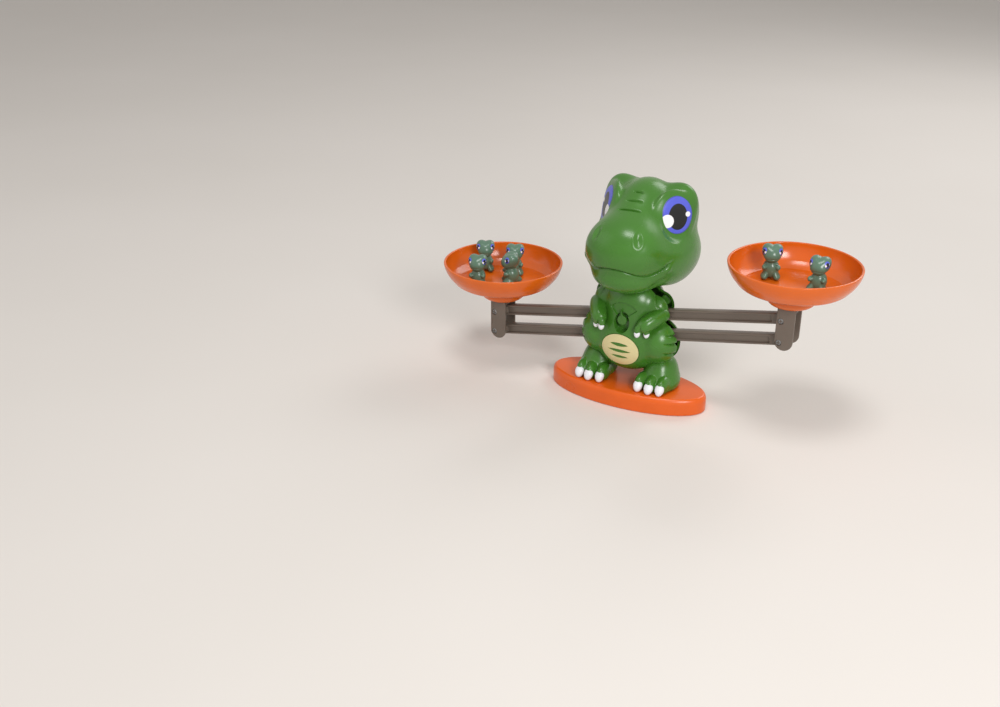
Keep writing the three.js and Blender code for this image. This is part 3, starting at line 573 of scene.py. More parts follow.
# ---- body
BODY = [((0, 0, 57), (34, 27, 31), 0), ((0, 2, 88), (27, 23, 26), 12),
        ((28, -1, 58), (18.2, 20, 20.5), 3), ((26.7, -1.1, 90.8), (9.7, 10.1, 11.2), 4)]
TAIL = [((0, 23.5, 44.4), (15.6, 12.3, 15.2), 6), ((0, 35.8, 38), (11, 11.2, 10.8), 8),
        ((0, 44.4, 34), (6.9, 7.8, 6.4), 8)]
body_plain = form(BODY)
body_sharp = form(BODY[:3] + [((25.6, -1.3, 88.8), (10, 10.8, 12), 6)])
SHOULDER_LINE = ((21.5, -0.8, 103.5), (23.5, -6.0, 100.6), (25.9, -10.1, 95.8), (28.0, -10.9, 93.0),
                 (31.8, -9.6, 90.6))
HIP_LINES = [((38.9, -12.8, 69.2), (44.0, -4.0, 67.0)), ((38.9, -16.4, 62.6), (45.4, -4, 59.9)),
             ((37.9, -17.2, 53.6), (44.8, -4, 50.3))]
SLOT = 4.5  # half the width of the slot for the beams
BODY_WALL = 2.3
CHEST = -22.6  # Y of the chest's front
FAN_RADIUS, FAN_DEEP = 15.5, 1.8
FAN_SLOPE = math.radians(52)  # from straight up to each side of the fan
WINDOW_FLOOR = CHEST + 6
HUB_OVAL = (2.4, 6.9, 8.8, 7.5)  # below the pivot, half width, half height, mean size
PATCH_Z = 51.8
POCKET_OVAL = (18.1, 15.6, 16)  # half width, half height, mean size
POCKET_DEEP = 0.9


def front_lines(p):
    """The front shell: the plain form, less three wedge-shaped lines on each hip and the thin
    line round each shoulder. A line takes off depth * exp(-(distance/width)^2)."""
    total, q = body_sharp(p), folded(p)
    for a, b in HIP_LINES:
        distance, t = rod_distance(q, a, b, (0.8, -0.6, 0))
        total = total + (1.0 + 2.0 * t) * groove(distance, 0.4 + 0.75 * t)
    nearest = np.min([rod_distance(q, a, b, (0.6, -0.7, 0.3))[0]
                      for a, b in zip(SHOULDER_LINE, SHOULDER_LINE[1:])], axis=0)
    return total + 0.7 * groove(nearest, 0.55)


def fan_edge(x, z):
    """Signed distance in the chest's plane to the window's fan, which opens upwards."""
    side = np.abs(x) * math.cos(FAN_SLOPE) - z * math.sin(FAN_SLOPE)
    return soft_max(np.hypot(x, z) - FAN_RADIUS, side, 0.8)


def oval_edge(x, z, half_width, half_height, size):
    """Signed distance to an oval's edge, near enough: (its oval distance - 1) * its size."""
    return (np.hypot(x / half_width, z / half_height) - 1) * size


def within(distance):
    """1 inside an edge and 0 outside it, over a ramp 0.6 mm wide."""
    return 1 - step_up(distance, -0.35, 0.25)


def press_front(p, behind=0):
    """Presses the window and the belly patch's pocket into the front shell along Y.

    The skin goes in by the fan's and the pocket's depths, and inside the hub's oval to the
    window's flat floor. The inside of the shell is pressed to stay "behind" mm behind it.
    """
    x, y, z = np.moveaxis(p, -1, 0)
    y = y + FAN_DEEP * within(fan_edge(x, z - UPPER_PIVOT)) * (y < -5)
    hub = within(oval_edge(x, z - UPPER_PIVOT + HUB_OVAL[0], *HUB_OVAL[1:])) * (y < -8)
    y = y + (np.maximum(y, WINDOW_FLOOR + behind) - y) * hub
    pocket = within(oval_edge(x, z - PATCH_Z, *POCKET_OVAL)) * (y < -8)
    return places(x, y + POCKET_DEEP * pocket, z)


def back_form(p):
    """The back shell: the plain form with the tail, swollen by 2.4 mm above the shoulders."""
    z = p[..., 2]
    return joined(body_plain(p) - 2.4 * step_up(z, 72, 88) * step_up(-z, -112, -104), p, TAIL)


# Each rear screw's x and z, the Y of its head's face, and its head's radius.
REAR_SCREWS = {}
for screw in [f"body_screw_{i}" for i in (1, 2, 3, 4)] + ["head_screw_1", "head_screw_2"]:
    middle, outermost = middle_of(screw), corners_of(screw)[1]
    sunk = 2.2 if screw.startswith("head") else 1.0
    REAR_SCREWS[screw] = (middle[0], middle[2], outermost[1] - sunk, 2.9)
REAR_SCREWS["head_screw_3"] = (0, middle_of("head_screw_3")[2] - 1.8, 33.2, 2.4)


def wells(group):
    """Presses round wells, 0.4 mm wider than the screws' heads, into a rear shell, down to under
    each head. The inside is pressed to stay "behind" mm behind the well's floor."""
    wider, under = 0.4, 1.5

    def press(p, behind=0):
        x, y, z = np.moveaxis(p, -1, 0)
        for screw, (sx, sz, face, radius) in REAR_SCREWS.items():
            if screw.startswith(group):
                away = np.hypot(x - sx, z - sz) - radius - wider - behind
                inside = (1 - step_up(away, -0.3, 0.5)) * (y > 4.6)
                y = y + (np.minimum(y, face - under - behind) - y) * inside
        return places(x, y, z)
    return press


BOSS_RADIUS, BOSS_GAP, BOSS_FRONT = 4, 0.3, -7.5
front_shell = half_shell(body_plain, front_lines, (0, 3, 64), -1, -SLOT, BODY_WALL, 185, 380,
                         press_front)
bosses = [disc(x, z, BOSS_RADIUS, -SLOT + BOSS_GAP, BOSS_FRONT, 0.2)
          for screw, (x, z, *_) in REAR_SCREWS.items() if screw.startswith("body")]
fit("body_front", [front_shell] + bosses, GREEN)
back_shell = half_shell(back_form, back_form, (0, 6, 60), 1, SLOT, BODY_WALL, 170, 340,
                        wells("body"))
fit("body_back", [back_shell], GREEN)


def patch():
    """The belly patch in four bands between three spindle-shaped openings.

    Band edges are the oval and the lines v = c s(u) -+ h (1 - (u/U)^2)^0.8, where s(u) squeezes
    the lines together towards the oval's ends. Each place (u, v) goes along Y to the belly.
    """
    wide, tall, sunk = 17.7, 15.2, 0.12
    u = np.sin(np.linspace(-np.pi / 2, np.pi / 2, 161)) * wide
    top = tall * np.sqrt(np.clip(1 - (u / wide) ** 2, 0, 1))
    squeeze = np.minimum(1, top / tall / 0.72)
    uppers, lowers = [top], []
    for height, half_width, half_height in ((6.1, 8.6, 1.75), (0, 11.1, 1.75), (-6.1, 8.6, 1.75)):
        open_by = half_height * np.clip(1 - (u / half_width) ** 2, 0, 1) ** 0.8
        lowers.append(height * squeeze + open_by)
        uppers.append(height * squeeze - open_by)
    sheets = []
    for upper, lower in zip(uppers, lowers + [-top]):
        t = np.linspace(0, 1, 12)[:, None]
        v = upper * (1 - t) + lower * t
        spot = places(u, 0.0, PATCH_Z + v)
        ways = np.broadcast_to(np.array([0, -1.0, 0]), spot.shape)
        spot[..., 1] = -reach(body_plain, spot, ways, 50) - sunk
        sheets.append(spot)
    return solid(*sheets, toward=(0, -1, 0))


def thicken(sheet, wall):
    """Gives an open sheet a wall that grows inwards from it."""
    solidify = sheet.modifiers.new("wall", "SOLIDIFY")
    solidify.thickness, solidify.offset = wall * MM, -1


belly = fit("belly_patch", [patch()], CREAM, crease=40)
thicken(belly, 1.0)
soft = belly.modifiers.new("edge", "BEVEL")
soft.width, soft.segments, soft.limit_method = 0.2 * MM, 2, "ANGLE"
soft.angle_limit = math.radians(50)


# ---- arms, feet and claws
SIDES = ((-1, "left"), (1, "right"))
ARM = [((29.9, -5.0, 85.4), (8.0, 8.5, 6.8), 0), ((27.0, -13.6, 83.4), (7.2, 7.4, 6.2), 7),
       ((23.8, -19.6, 81.0), (6.0, 6.2, 5.8), 7), ((20.8, -23.4, 78.0), (5.9, 5.2, 5.2), 6),
       ((17.5, -26.2, 75.2), (3.5, 3.4, 5.0), 1.0), ((23.6, -22.6, 74.6), (3.5, 3.4, 5.0), 1.0)]
FINGER_TIPS = ((17.2, -27.3, 72.0), (24.2, -23.0, 71.4))
FOOT = [((30, 2.5, 30), (14.8, 16.5, 14.8), 0), ((31.2, -1, 20), (16.8, 20, 9.5), 9),
        ((18.9, -14, 22.0), (5.5, 11, 8.2), 1.4), ((29.5, -15, 22.0), (5.5, 11, 8.2), 1.4),
        ((39.3, -13, 22.0), (5.5, 11, 8.2), 1.4)]
TOE_TIPS = ((18.9, -23.0, 20.6), (29.5, -24.0, 20.6), (39.3, -22.2, 20.6))


def arm_surface(side):
    """An arm, stopped 0.3 mm before the slot, with a groove between its two fingers."""
    plain = form(ARM, side)

    def field(p):
        distance, t = rod_distance(p * (side, 1, 1), (20.5, -27.8, 81),
                                   (20.7, -26.6, 72), (-0.5, -0.85, 0.1))
        total = plain(p) + 1.5 * np.sqrt(t) * groove(distance, 0.9)
        return soft_max(total, p[..., 1] + SLOT + 0.3, 0.8)
    return field


def foot_surface(side):
    """A foot, flat where it stands on the board."""
    plain = form(FOOT, side)
    return lambda p: soft_max(plain(p), BOARD_TOP + 0.05 - p[..., 2], 0.8)


def claws(tips, size, side, lean):
    """Eggs at the tips: ellipsoids whose width shrinks towards the lower end, tipped forwards."""
    eggs = []
    for tip in tips:
        spot = np.array(tip) * (side, 1, 1)

        def field(p):
            x, y, z = np.moveaxis(p - spot, -1, 0)
            narrow = 1 + 0.13 * (z / size[2])
            return swelling(places(x / narrow, y - lean * z, z), (0, 0, 0), size)
        eggs.append(ball(field, spot, 9, 40, 56))
    return eggs


for side, word in SIDES:
    arm = ball(arm_surface(side), (side * 25.4, -16.5, 81.9), 30, 150, 190)
    foot = ball(foot_surface(side), (side * 30, -3, 27), 50, 170, 220)
    fit(f"{word}_arm", [arm], GREEN)
    fit(f"{word}_finger_claws", claws(FINGER_TIPS, (2.75, 2.4, 3.2), side, 0.1), WHITE)
    fit(f"{word}_foot", [foot], GREEN)
    fit(f"{word}_toe_claws", claws(TOE_TIPS, (4.15, 4.0, 5.2), side, 0.22), WHITE)


# ---- head
HEAD = [((0, 18.6, 149.4), (33, 40, 47.2), 0), ((21.1, 27.9, 166.6), (20.9, 29.6, 20.2), 10.8),
        ((28, 28.9, 179.9), (13, 8.7, 13.5), 10.5), ((0, -24.7, 145.9), (34.1, 25.6, 27.2), 21.7),
        ((29.2, 19.4, 130.9), (17.9, 39.6, 21.9), 19.8), ((0, -16, 122.4), (30.6, 29.4, 16.3), 6.4)]
head_blobs = form(HEAD)
SEAM = 30.39  # Y of the plane between the head's halves


def square_to(out, back):
    """The direction back made square to out, and the direction across both."""
    back = unit(back - (back @ out) * out)
    return back, np.cross(out, back)


# The eye's plane: a spot in it, its normal, and its directions back and up. The print is turned
# in that plane.
EYE_SPOT = np.array([33.6, 7.2, 172.5])
EYE_OUT = np.array([0.8138, -0.5438, 0.2048])
EYE_BACK, EYE_UP = square_to(EYE_OUT, np.array([0.5276, 0.8392, 0.1318]))
PRINT_BACK, PRINT_UP = square_to(EYE_OUT, np.array([0.515, 0.846, -0.124]))
EYE_WIDE, EYE_TALL = 14.9, 16  # half sizes of the eye's oval


def head_plain(p):
    """The head's joined ellipsoids with a flat place for each eye.

    In the eye's own places (u back, v up, w out) an ellipsoid of half sizes 21.5, 21.5 and 5.5 mm
    fills the head up to the plane w = 0. Inside the eye's oval the head is cut off 0.2 mm under
    that plane; outside, at r times the oval's size, the cut stands 24 (r - 1)^2 mm higher.
    """
    q = folded(p) - EYE_SPOT
    u, v, w = q @ EYE_BACK, q @ EYE_UP, q @ EYE_OUT
    mound = swelling(places(u, v, w + 5.5), (0, 0, 0), (21.5, 21.5, 5.5))
    cut = w + 0.2 - 24 * np.maximum(np.hypot(u / EYE_WIDE, v / EYE_TALL) - 1, 0) ** 2
    return soft_max(soft_min(head_blobs(p), mound, 3), cut, 1)


MOUTH_X = np.linspace(0, 60, 241)
MOUTH_Z = np.interp(MOUTH_X, [0, 8, 14, 19, 24, 28, 32, 36, 39.5, 42, 60],
                    [134.8, 134.2, 132.4, 130.2, 129.2, 129.8, 131.8, 134.8, 138, 141.2, 160])
MOUTH_Z = np.convolve(np.pad(MOUTH_Z, 8, mode="edge"), np.ones(17) / 17, mode="valid")
FOLDS = [((-4.6, -2, 189.6), (0.2, -2, 190.1), (4.8, -1.6, 189.8), 1.1),
         ((-8, -9.2, 183.1), (0.2, -9.9, 184.2), (7.8, -8.3, 183.7), 1.0),
         ((-11.5, -17.5, 176.7), (-0.3, -18.7, 178.7), (10.3, -16.6, 177.7), 1.2)]
NOSTRIL = np.array([19.2, -40.4, 161.2])
NOSTRIL_ACROSS, NOSTRIL_UP = np.array([0.80, 0.56, -0.2]), np.array([-0.05, 0.30, 0.95])
CHEEK_LUMP = ((39.8, -18.2, 132.8), (38.6, -20, 131.6))
CHIN_DIMPLE = ((27.0, -27, 116.4), (35.5, -18.5, 122.6))


def line_through(p, a, b, c):
    """Distance to the bent line a, b, c, and how far along it from -1 to 1."""
    one, s = rod_distance(p, a, b, (0, -0.6, 0.8))
    two, t = rod_distance(p, b, c, (0, -0.6, 0.8))
    return np.where(one < two, one, two), np.where(one < two, s - 1, t)


def face_lines(p):
    """The head with its mouth, lips, nostrils, folds, cheek lumps and chin dimples.

    With s the height above the mouth's line, the mouth takes off 2 exp(-s^2), the lower
    lip steps back by up to 1.5 mm and the upper lip stands out by up to 0.7 mm. A nostril is an
    oval dent 1.7 exp(-1.3 e^2) with e its oval distance, inside a low rim. Folds are
    lines that take off depth * exp(-(distance/width)^2) and fade towards their ends.
    """
    total, q = head_plain(p), folded(p)
    s = q[..., 2] - np.interp(q[..., 0], MOUTH_X, MOUTH_Z)
    fade = 1 - step_up(q[..., 1], -25, -12)
    below = 1 / (1 + np.exp(np.clip(s / 0.4, -30, 30)))
    total = total + fade * 2.0 * groove(s, 1.0)
    total = total + fade * 1.5 * below * np.exp(np.minimum(s, 0) / 3.5)
    total = total - fade * 0.7 * (1 - below) * np.exp(-np.maximum(s, 0) / 4)
    spot = q - NOSTRIL
    e = np.hypot(spot @ NOSTRIL_ACROSS / 2.9, spot @ NOSTRIL_UP / 5.2)
    near = np.exp(-(np.linalg.norm(spot, axis=-1) / 9) ** 4)
    total = total + near * (1.7 * np.exp(-1.3 * e ** 2) - 0.4 * groove(e - 1.5, 0.4))
    for a, b, c, depth in FOLDS:
        distance, t = line_through(p, a, b, c)
        total = total + (1 - t ** 4) * 2.2 * depth * groove(distance, 0.85)
    total = total - 0.9 * groove(rod_distance(q, *CHEEK_LUMP)[0], 2.4)
    return total + 0.9 * groove(rod_distance(q, *CHIN_DIMPLE)[0], 2.6)


HEAD_MIDDLE, HEAD_WALL, HALF_GAP = (0, 14, 148), 2.6, 0.15
head_shell = half_shell(head_plain, face_lines, HEAD_MIDDLE, -1, SEAM - HALF_GAP, HEAD_WALL,
                        230, 340)
fit("head_front", [head_shell], GREEN)
head_rear = half_shell(head_plain, head_plain, HEAD_MIDDLE, 1, SEAM + HALF_GAP, HEAD_WALL,
                       150, 360, wells("head"))
fit("head_back", [head_rear], GREEN)


def oval_rings(half_width, half_height, rings, columns):
    """Places u = A r cos a and v = B r sin a on rings r from an oval's middle out, and r."""
    r = np.sin(quarter(rings))[:, None]
    a = once_round(columns)
    return half_width * r * np.cos(a), half_height * r * np.sin(a), r


def eye_sheet(flip):
    """An oval sheet on the head: rings in the eye's plane go out along its normal to the skin.

    The sheet stands 0.3 mm proud and falls to 0.08 mm at its edge.
    """
    behind = 20
    u, v, r = oval_rings(EYE_WIDE, EYE_TALL, 34, 120)
    spot = (EYE_SPOT + u[..., None] * EYE_BACK + v[..., None] * EYE_UP) * flip
    spot = spot - behind * EYE_OUT * flip
    ways = np.broadcast_to(EYE_OUT * flip, spot.shape)
    out = reach(head_plain, spot, ways, 44) + 0.08 + 0.22 * (1 - r ** 10)
    return solid(spot + ways * out[..., None], toward=EYE_OUT * flip)


def eye_map(part, spot, back, up, scale=1.0):
    """Writes each corner's place in the eye's plane into the UV map "face"."""
    mesh = part.data
    points = np.empty(len(mesh.vertices) * 3)
    mesh.vertices.foreach_get("co", points)
    away = points.reshape(-1, 3) / MM - spot
    loops = np.empty(len(mesh.loops), dtype=np.int32)
    mesh.loops.foreach_get("vertex_index", loops)
    flat = np.stack([away @ back, away @ up], axis=1) * scale / PRINT_FIELD + 0.5
    layer = mesh.uv_layers.new(name="face")
    layer.data.foreach_set("uv", flat[loops].astype(np.float32).ravel())


for side, word in SIDES:
    flip = np.array([side, 1, 1])
    eye = fit(f"{word}_eye", [eye_sheet(flip)], EYE, crease=40)
    eye_map(eye, EYE_SPOT * flip, PRINT_BACK * flip, PRINT_UP * flip)
    thicken(eye, 1.1)


# ---- pointer
KNOB_RADIUS, NEEDLE_LENGTH, NEEDLE_HALF, POINTER_THICK = 4.4, 10.2, 1.75, 2.2


def hand():
    """A round knob with a needle that tapers to a tenth of its width at the tip.

    In the direction a the outline lies at the larger of the knob's radius and the needle's half
    width over |sin a| + 0.9 * half width / length * cos a, up to the needle's tip.
    """
    a = np.linspace(0, 2 * np.pi, 240, endpoint=False)
    side, up = np.abs(np.sin(a)), np.cos(a)
    taper = NEEDLE_HALF / NEEDLE_LENGTH * 0.9
    needle = np.where(up > 0, NEEDLE_HALF / (side + taper * np.maximum(up, 1e-3)), 0)
    needle = np.minimum(needle, NEEDLE_LENGTH / np.maximum(up, 0.2))
    radius = np.maximum(KNOB_RADIUS, needle)
    loop = np.stack([np.sin(a), np.cos(a)], axis=1) * radius[:, None]
    along = np.roll(loop, -1, axis=0) - np.roll(loop, 1, axis=0)
    out = unit(np.stack([-along[:, 1], along[:, 0]], axis=1))
    out = out * np.sign(np.sum(out * loop))
    low = corners_of("pointer")[0][1]
    return leaned(prism(loop, out, edge(low, low + POINTER_THICK, 0.45)), UPPER_PIVOT)


fit("pointer", [hand()], GREEN, "beam")


# ---- beams
def beam(height):
    """A grooved bar: at each place x a section of an I with rounded edges and flanges.

    The half height is 4.75 mm, and at the round ends it is sqrt(4.75^2 - (|x| - 139)^2). The
    groove is 2 mm deep and fades out within 1 mm at its ends.
    """
    half, length = 4.75, 139.0
    t = quarter(18)
    tip = length + half * np.sin(t)
    run = np.concatenate([np.linspace(0, 11.6, 4), np.linspace(12.2, 13.6, 8),
                          np.linspace(16, 126, 40), np.linspace(128.1, 129.6, 8),
                          np.linspace(131, 138.6, 6), tip])
    x = np.concatenate([-run[:0:-1], run])[:, None]
    tall = np.sqrt(np.clip(half ** 2 - np.clip(np.abs(x) - length, 0, None) ** 2, 0, None))
    deep = step_up(np.abs(x), 12.35, 13.4) * (1 - step_up(np.abs(x), 128.3, 129.5))
    drop = np.array([0, 0, 0.12, 0.28, 0.55, 1.45, 1.6, 1.7, 1.78, 1.95, 3.0, 4.75])
    side = np.array([0, 2.95, 3.22, 3.38, 3.5, 3.5, 3.5, 3.5, 3.5, 3.5, 3.5, 3.5])
    sunk = np.array([0, 0, 0, 0, 0, 0, 0.08, 0.35, 1.7, 2.0, 2.0, 2.0])
    y = side - sunk * deep
    z = np.maximum(tall - drop, 0)
    ys = np.concatenate([y, y[:, -2::-1], -y[:, 1:], -y[:, -2::-1]], axis=1)
    zs = np.concatenate([z, -z[:, -2::-1], -z[:, 1:], z[:, -2::-1]], axis=1)
    bar = solid(places(x, ys, zs - 1))
    hub = disc(0, 0, 7.6, -4.2, 4.2, 0.4, 72)
    return [leaned(bar, height), leaned(hub, height)]


fit("upper_beam", beam(UPPER_PIVOT), BROWN, "beam", crease=35)
fit("lower_beam", beam(LOWER_PIVOT), BROWN, "low_beam", crease=35)


# ---- posts and their screws
# Places on a fork plate are measured from its upper screw: its sides, its top, the round at
# its lower end, and the peg under the pan.
PLATE_SIDES = (-3.6, 12.0)
PLATE_TOP = 12.3
PLATE_FRONT, PLATE_BACK = -10, -8
PLATE_ROUND = 0.55
ROUND_X, ROUND_Z, ROUND_R = 4.2, -17.6, 7.8
BRIDGE_TALL = 3.6
POCKET_SINK = 1.1  # how deep the screws sit in the front plates
POST_HALF = 9.9  # half the post's depth over both plates
PIVOT_BOSS, BOSS_Y = 3.5, (3.8, 8.2)  # radius, and how far from and to
PEG_RADIUS, PEG_TALL = 7, 11.6


def to_wall(way, low, high):
    """How far a ray goes to the wall at low or at high, whichever its share of way leads to."""
    along = np.abs(way) < 1e-9
    return np.where(along, 1e6, np.where(way > 0, high, low) / np.where(along, 1, way))


def plate_part(lower, sink):
    """The half of a fork plate round one screw hole, as rings from the hole to its own edge.

    A ray from the hole at the angle a ends on the nearer of the side and the top or meeting line,
    or on the lower round: with b = c . way it is b + sqrt(b^2 - |c|^2 + R^2), c being the round's
    middle. The well's wall falls by the sink between radii 2.85 and 2.55. The outer edge is
    rounded, except on the line halfway between the holes, where both parts meet.
    """
    left, right = PLATE_SIDES
    cx, cz = ROUND_X, ROUND_Z + PIVOT_SPACING
    bottom, top = (cz, PIVOT_SPACING / 2) if lower else (-PIVOT_SPACING / 2, PLATE_TOP)
    corners = np.arctan2([bottom, bottom, top, top], [left, right, right, left])
    steps = np.mod(np.diff(closed(corners)), 2 * np.pi)
    starts = corners[0] + np.concatenate([[0], np.cumsum(steps)[:-1]])
    meeting = 2 if lower else 0
    counts = [12 if i == meeting else 2 * int(step * 14) + 4 for i, step in enumerate(steps)]
    a = closed(np.concatenate([start + np.linspace(0, step, count, endpoint=False)
                               for start, step, count in zip(starts, steps, counts)]))
    cos, sin = np.cos(a), np.sin(a)
    far = np.minimum(to_wall(cos, left, right), to_wall(sin, -1e6 if lower else bottom, top))
    on_round = np.zeros(a.shape, bool)
    if lower:
        b = cos * cx + sin * cz
        to_round = b + np.sqrt(np.maximum(b * b - cx * cx - cz * cz + ROUND_R ** 2, 0))
        on_round = sin * far < cz - 1e-6
        far = np.where(on_round, to_round, far)
    x, z = far * cos, far * sin
    out_x = np.where(x > right - 1e-6, 1.0, np.where(x < left + 1e-6, -1.0, 0))
    out_x = np.where(on_round, (x - cx) / ROUND_R, out_x)
    out_z = np.where(on_round, (z - cz) / ROUND_R, np.where(z > PLATE_TOP - 1e-6, 1.0, 0))
    rings = [(0, sink), (2.2, sink), (2.55, sink), (2.66, sink * 0.8), (2.74, sink * 0.2),
             (2.85, 0), (3.1, 0)]
    rows = [places(r * cos, PLATE_FRONT + d, r * sin) for r, d in rings]
    turn = quarter(6)
    inset, fall = PLATE_ROUND * (1 - np.sin(turn)), PLATE_ROUND * (1 - np.cos(turn))
    free = np.hypot(out_x, out_z) > 0
    edges = [(i, PLATE_FRONT + f * free) for i, f in zip(inset, fall)]
    edges += [(i, PLATE_BACK - f * free) for i, f in zip(inset[::-1], fall[::-1])]
    rows += [places(x - i * out_x, y, z - i * out_z) for i, y in edges]
    rows.append(places(0 * a, PLATE_BACK, 0))
    grid = np.stack(rows) - (0, 0, PIVOT_SPACING if lower else 0)
    front = len(rings) + len(inset)
    first = int(np.sum(counts[:meeting]))
    last = first + counts[meeting]
    walls = [grid[front - 1:front + 1, part] for part in (slice(0, first + 1), slice(last, None))]
    return [grid[:front], grid[front:]] + [wall for wall in walls if wall.shape[1] > 1]


def fork(pin):
    """A post: two plates, the bridge, four bosses on the screws and the peg under the pan."""
    place = np.array([pin[0], 0, pin[1]])
    parts = []
    for sink, mirror in ((POCKET_SINK, (1, 1, 1)), (0, (1, -1, 1))):
        grids = plate_part(False, sink) + plate_part(True, sink)
        parts.append(solid(*(grid * mirror + place for grid in grids)))
    low = place + (PLATE_SIDES[0], -POST_HALF, PLATE_TOP - BRIDGE_TALL)
    high = place + (PLATE_SIDES[1], POST_HALF, PLATE_TOP)
    parts.append(rounded_block(low, high, 0.5))
    near, far = BOSS_Y
    for down in (0, PIVOT_SPACING):
        for y0, y1 in ((-far, -near), (near, far)):
            parts.append(disc(pin[0], pin[1] - down, PIVOT_BOSS, y0, y1, 0.3))
    peg = filleted([(0, 0), (PEG_RADIUS, 0), (PEG_RADIUS, PEG_TALL), (0, PEG_TALL)],
                   [0, 0.1, 0.8, 0], 5)
    parts.append(turned(peg, pin[0] + ROUND_X, pin[1] + PLATE_TOP - BRIDGE_TALL, 64))
    return parts


def screw_head(x, z, face, radius=2.35):
    """A pan head with a cross recess: y = face + dome r^4 + depth inside the cross, where the
    cross is |a| < 0.38 mm along one arm and less than 1.6 mm along the other."""
    half_slit, half_cross, dome, deep, thick = 0.38, 1.6, 0.35, 0.7, 0.9
    r = np.concatenate([np.linspace(0, radius - 0.3, 22), np.linspace(radius - 0.2, radius, 4)])
    a = once_round(96)
    u, v = r[:, None] * np.cos(a), r[:, None] * np.sin(a)
    arm = np.minimum(np.maximum(np.abs(u) - half_slit, np.abs(v) - half_cross),
                     np.maximum(np.abs(v) - half_slit, np.abs(u) - half_cross))
    y = face + dome * (r[:, None] / radius) ** 4 + deep * (1 - step_up(arm, -0.1, 0.08))
    top = places(x + u, y, z + v)
    skirt = top[-1:].copy()
    skirt[..., 1] = face + thick
    end = np.broadcast_to(np.array([x, face + thick, z]), skirt.shape)
    return solid(np.concatenate([top, skirt, end]))


def screw_shank(x, z, y0, y1):
    """A screw's plain shank along Y."""
    return disc(x, z, 1.4, y0, y1, 0.3, 32)


SCREW_FACE = -9.35  # Y of the post screws' heads
for word, pin in (("left", LEFT_PIN), ("right", RIGHT_PIN)):
    body = f"{word}_upright"
    fit(f"{word}_post", fork(pin), BROWN, body, crease=40)
    for level, z in (("upper", pin[1]), ("lower", pin[1] - PIVOT_SPACING)):
        node = f"{word}_{level}_screw"
        shank = screw_shank(pin[0], z, -8.6, corners_of(node)[1][1] - 0.3)
        fit(node, [screw_head(pin[0], z, SCREW_FACE), shank], STEEL, body, crease=40)

for node, (x, z, face, radius) in REAR_SCREWS.items():
    head, around = screw_head(x, z, -face, radius)
    shank = screw_shank(x, z, max(face - 8, 5), face - 0.8)
    fit(node, [(head * (1, -1, 1), around[:, ::-1]), shank], STEEL, crease=40)


# ---- pans
PAN_RADIUS, PAN_RIM, PAN_FLOOR = 55, 35.5, 16.2


def pan_profile():
    """The pan's section (radius, height): socket, foot, flare, underside, bowl, rim, floor."""
    t = quarter(16)
    foot = np.stack([12.9 + 8.1 * np.sin(t), 0.25 + 6.75 * (1 - np.cos(t))], axis=1)

    def bowl(start, low, end):
        """A curve from (start, low) out to the rim: run * sin^1.2 s, rise * (1 - cos^1.2 s)."""
        s = np.linspace(0.02, np.pi / 2, 22)
        return np.stack([start + (end - start) * np.sin(s) ** 1.2,
                         low + (PAN_RIM - low) * (1 - np.cos(s) ** 1.2)], axis=1)
    lip = np.linspace(0, np.pi, 9)
    rim = np.stack([PAN_RADIUS - 1.05 + 1.05 * np.cos(lip), 35.2 + 0.6 * np.sin(lip)], axis=1)
    under = filleted([(21, 7), (21.2, 11.8), (24.5, 14.1), (33, 14.1)], [0, 1.5, 1.5, 0], 6)
    floor_edge = filleted([(42.4, 16.5), (41.5, 16.05), (39.5, PAN_FLOOR), (30, PAN_FLOOR)],
                          [0, 0.5, 0.8, 0], 5)
    return np.concatenate([[(0, 8.3), (7.1, 8.3), (7.3, 8.1), (7.3, 0.5), (7.6, 0), (12.4, 0)],
                           foot, under, bowl(35.7, 14.1, PAN_RADIUS)[:-1], rim,
                           bowl(42.0, PAN_FLOOR, 52.9)[::-1][1:-1], floor_edge,
                           [(15, PAN_FLOOR), (0, PAN_FLOOR)]])


PAN_X = {}
for _, word in SIDES:
    PAN_X[word] = middle_of(f"{word}_pan")[0]
    pan = turned(pan_profile(), PAN_X[word], corners_of(f"{word}_pan")[0][2], 200)
    fit(f"{word}_pan", [pan], PAN_ORANGE, f"{word}_bowl")


# ---- counting figures
FIGURE = [((0, 0.3, 8.6), (6.9, 7.0, 8.2), 0), ((0, -0.6, 21.8), (8.0, 8.2, 6.6), 2.4),
          ((4.2, 0.6, 25.2), (4.1, 5.4, 4.2), 3), ((0, -5.2, 19.6), (6.2, 3.9, 4.2), 2),
          ((5.0, -3.2, 2.7), (3.2, 5.2, 2.9), 0.8), ((0, 6.6, 3.6), (2.4, 3.6, 3.0), 1.8),
          ((5.7, -4.6, 10.8), (2.0, 3.0, 2.2), 0.8)]
figure_form = form(FIGURE)
FIGURE_EYE = np.array([5.0, -3.0, 24.2])
EYE_SHRINK = 5.9  # how much smaller the print is than on the head
# Each figure's pan, its place across the pan in shares of the pan's radius, and its turn.
FIGURES = (("left", -0.27, -0.38, 20), ("left", -0.52, 0.29, 28), ("left", 0.167, -0.03, -55),
           ("left", 0.01, 0.385, 28), ("right", -0.41, 0.15, 20), ("right", 0.367, 0, 0))


def figure_surface(p):
    """A small dinosaur: its joined ellipsoids less a mouth line, flat underneath."""
    s = p[..., 2] - 18.6 + 0.02 * p[..., 0] ** 2
    mouth = 0.45 * groove(s, 0.45) * (1 - step_up(p[..., 1], -6, -3))
    return soft_max(figure_form(p) + mouth, 0.02 - p[..., 2], 0.4)


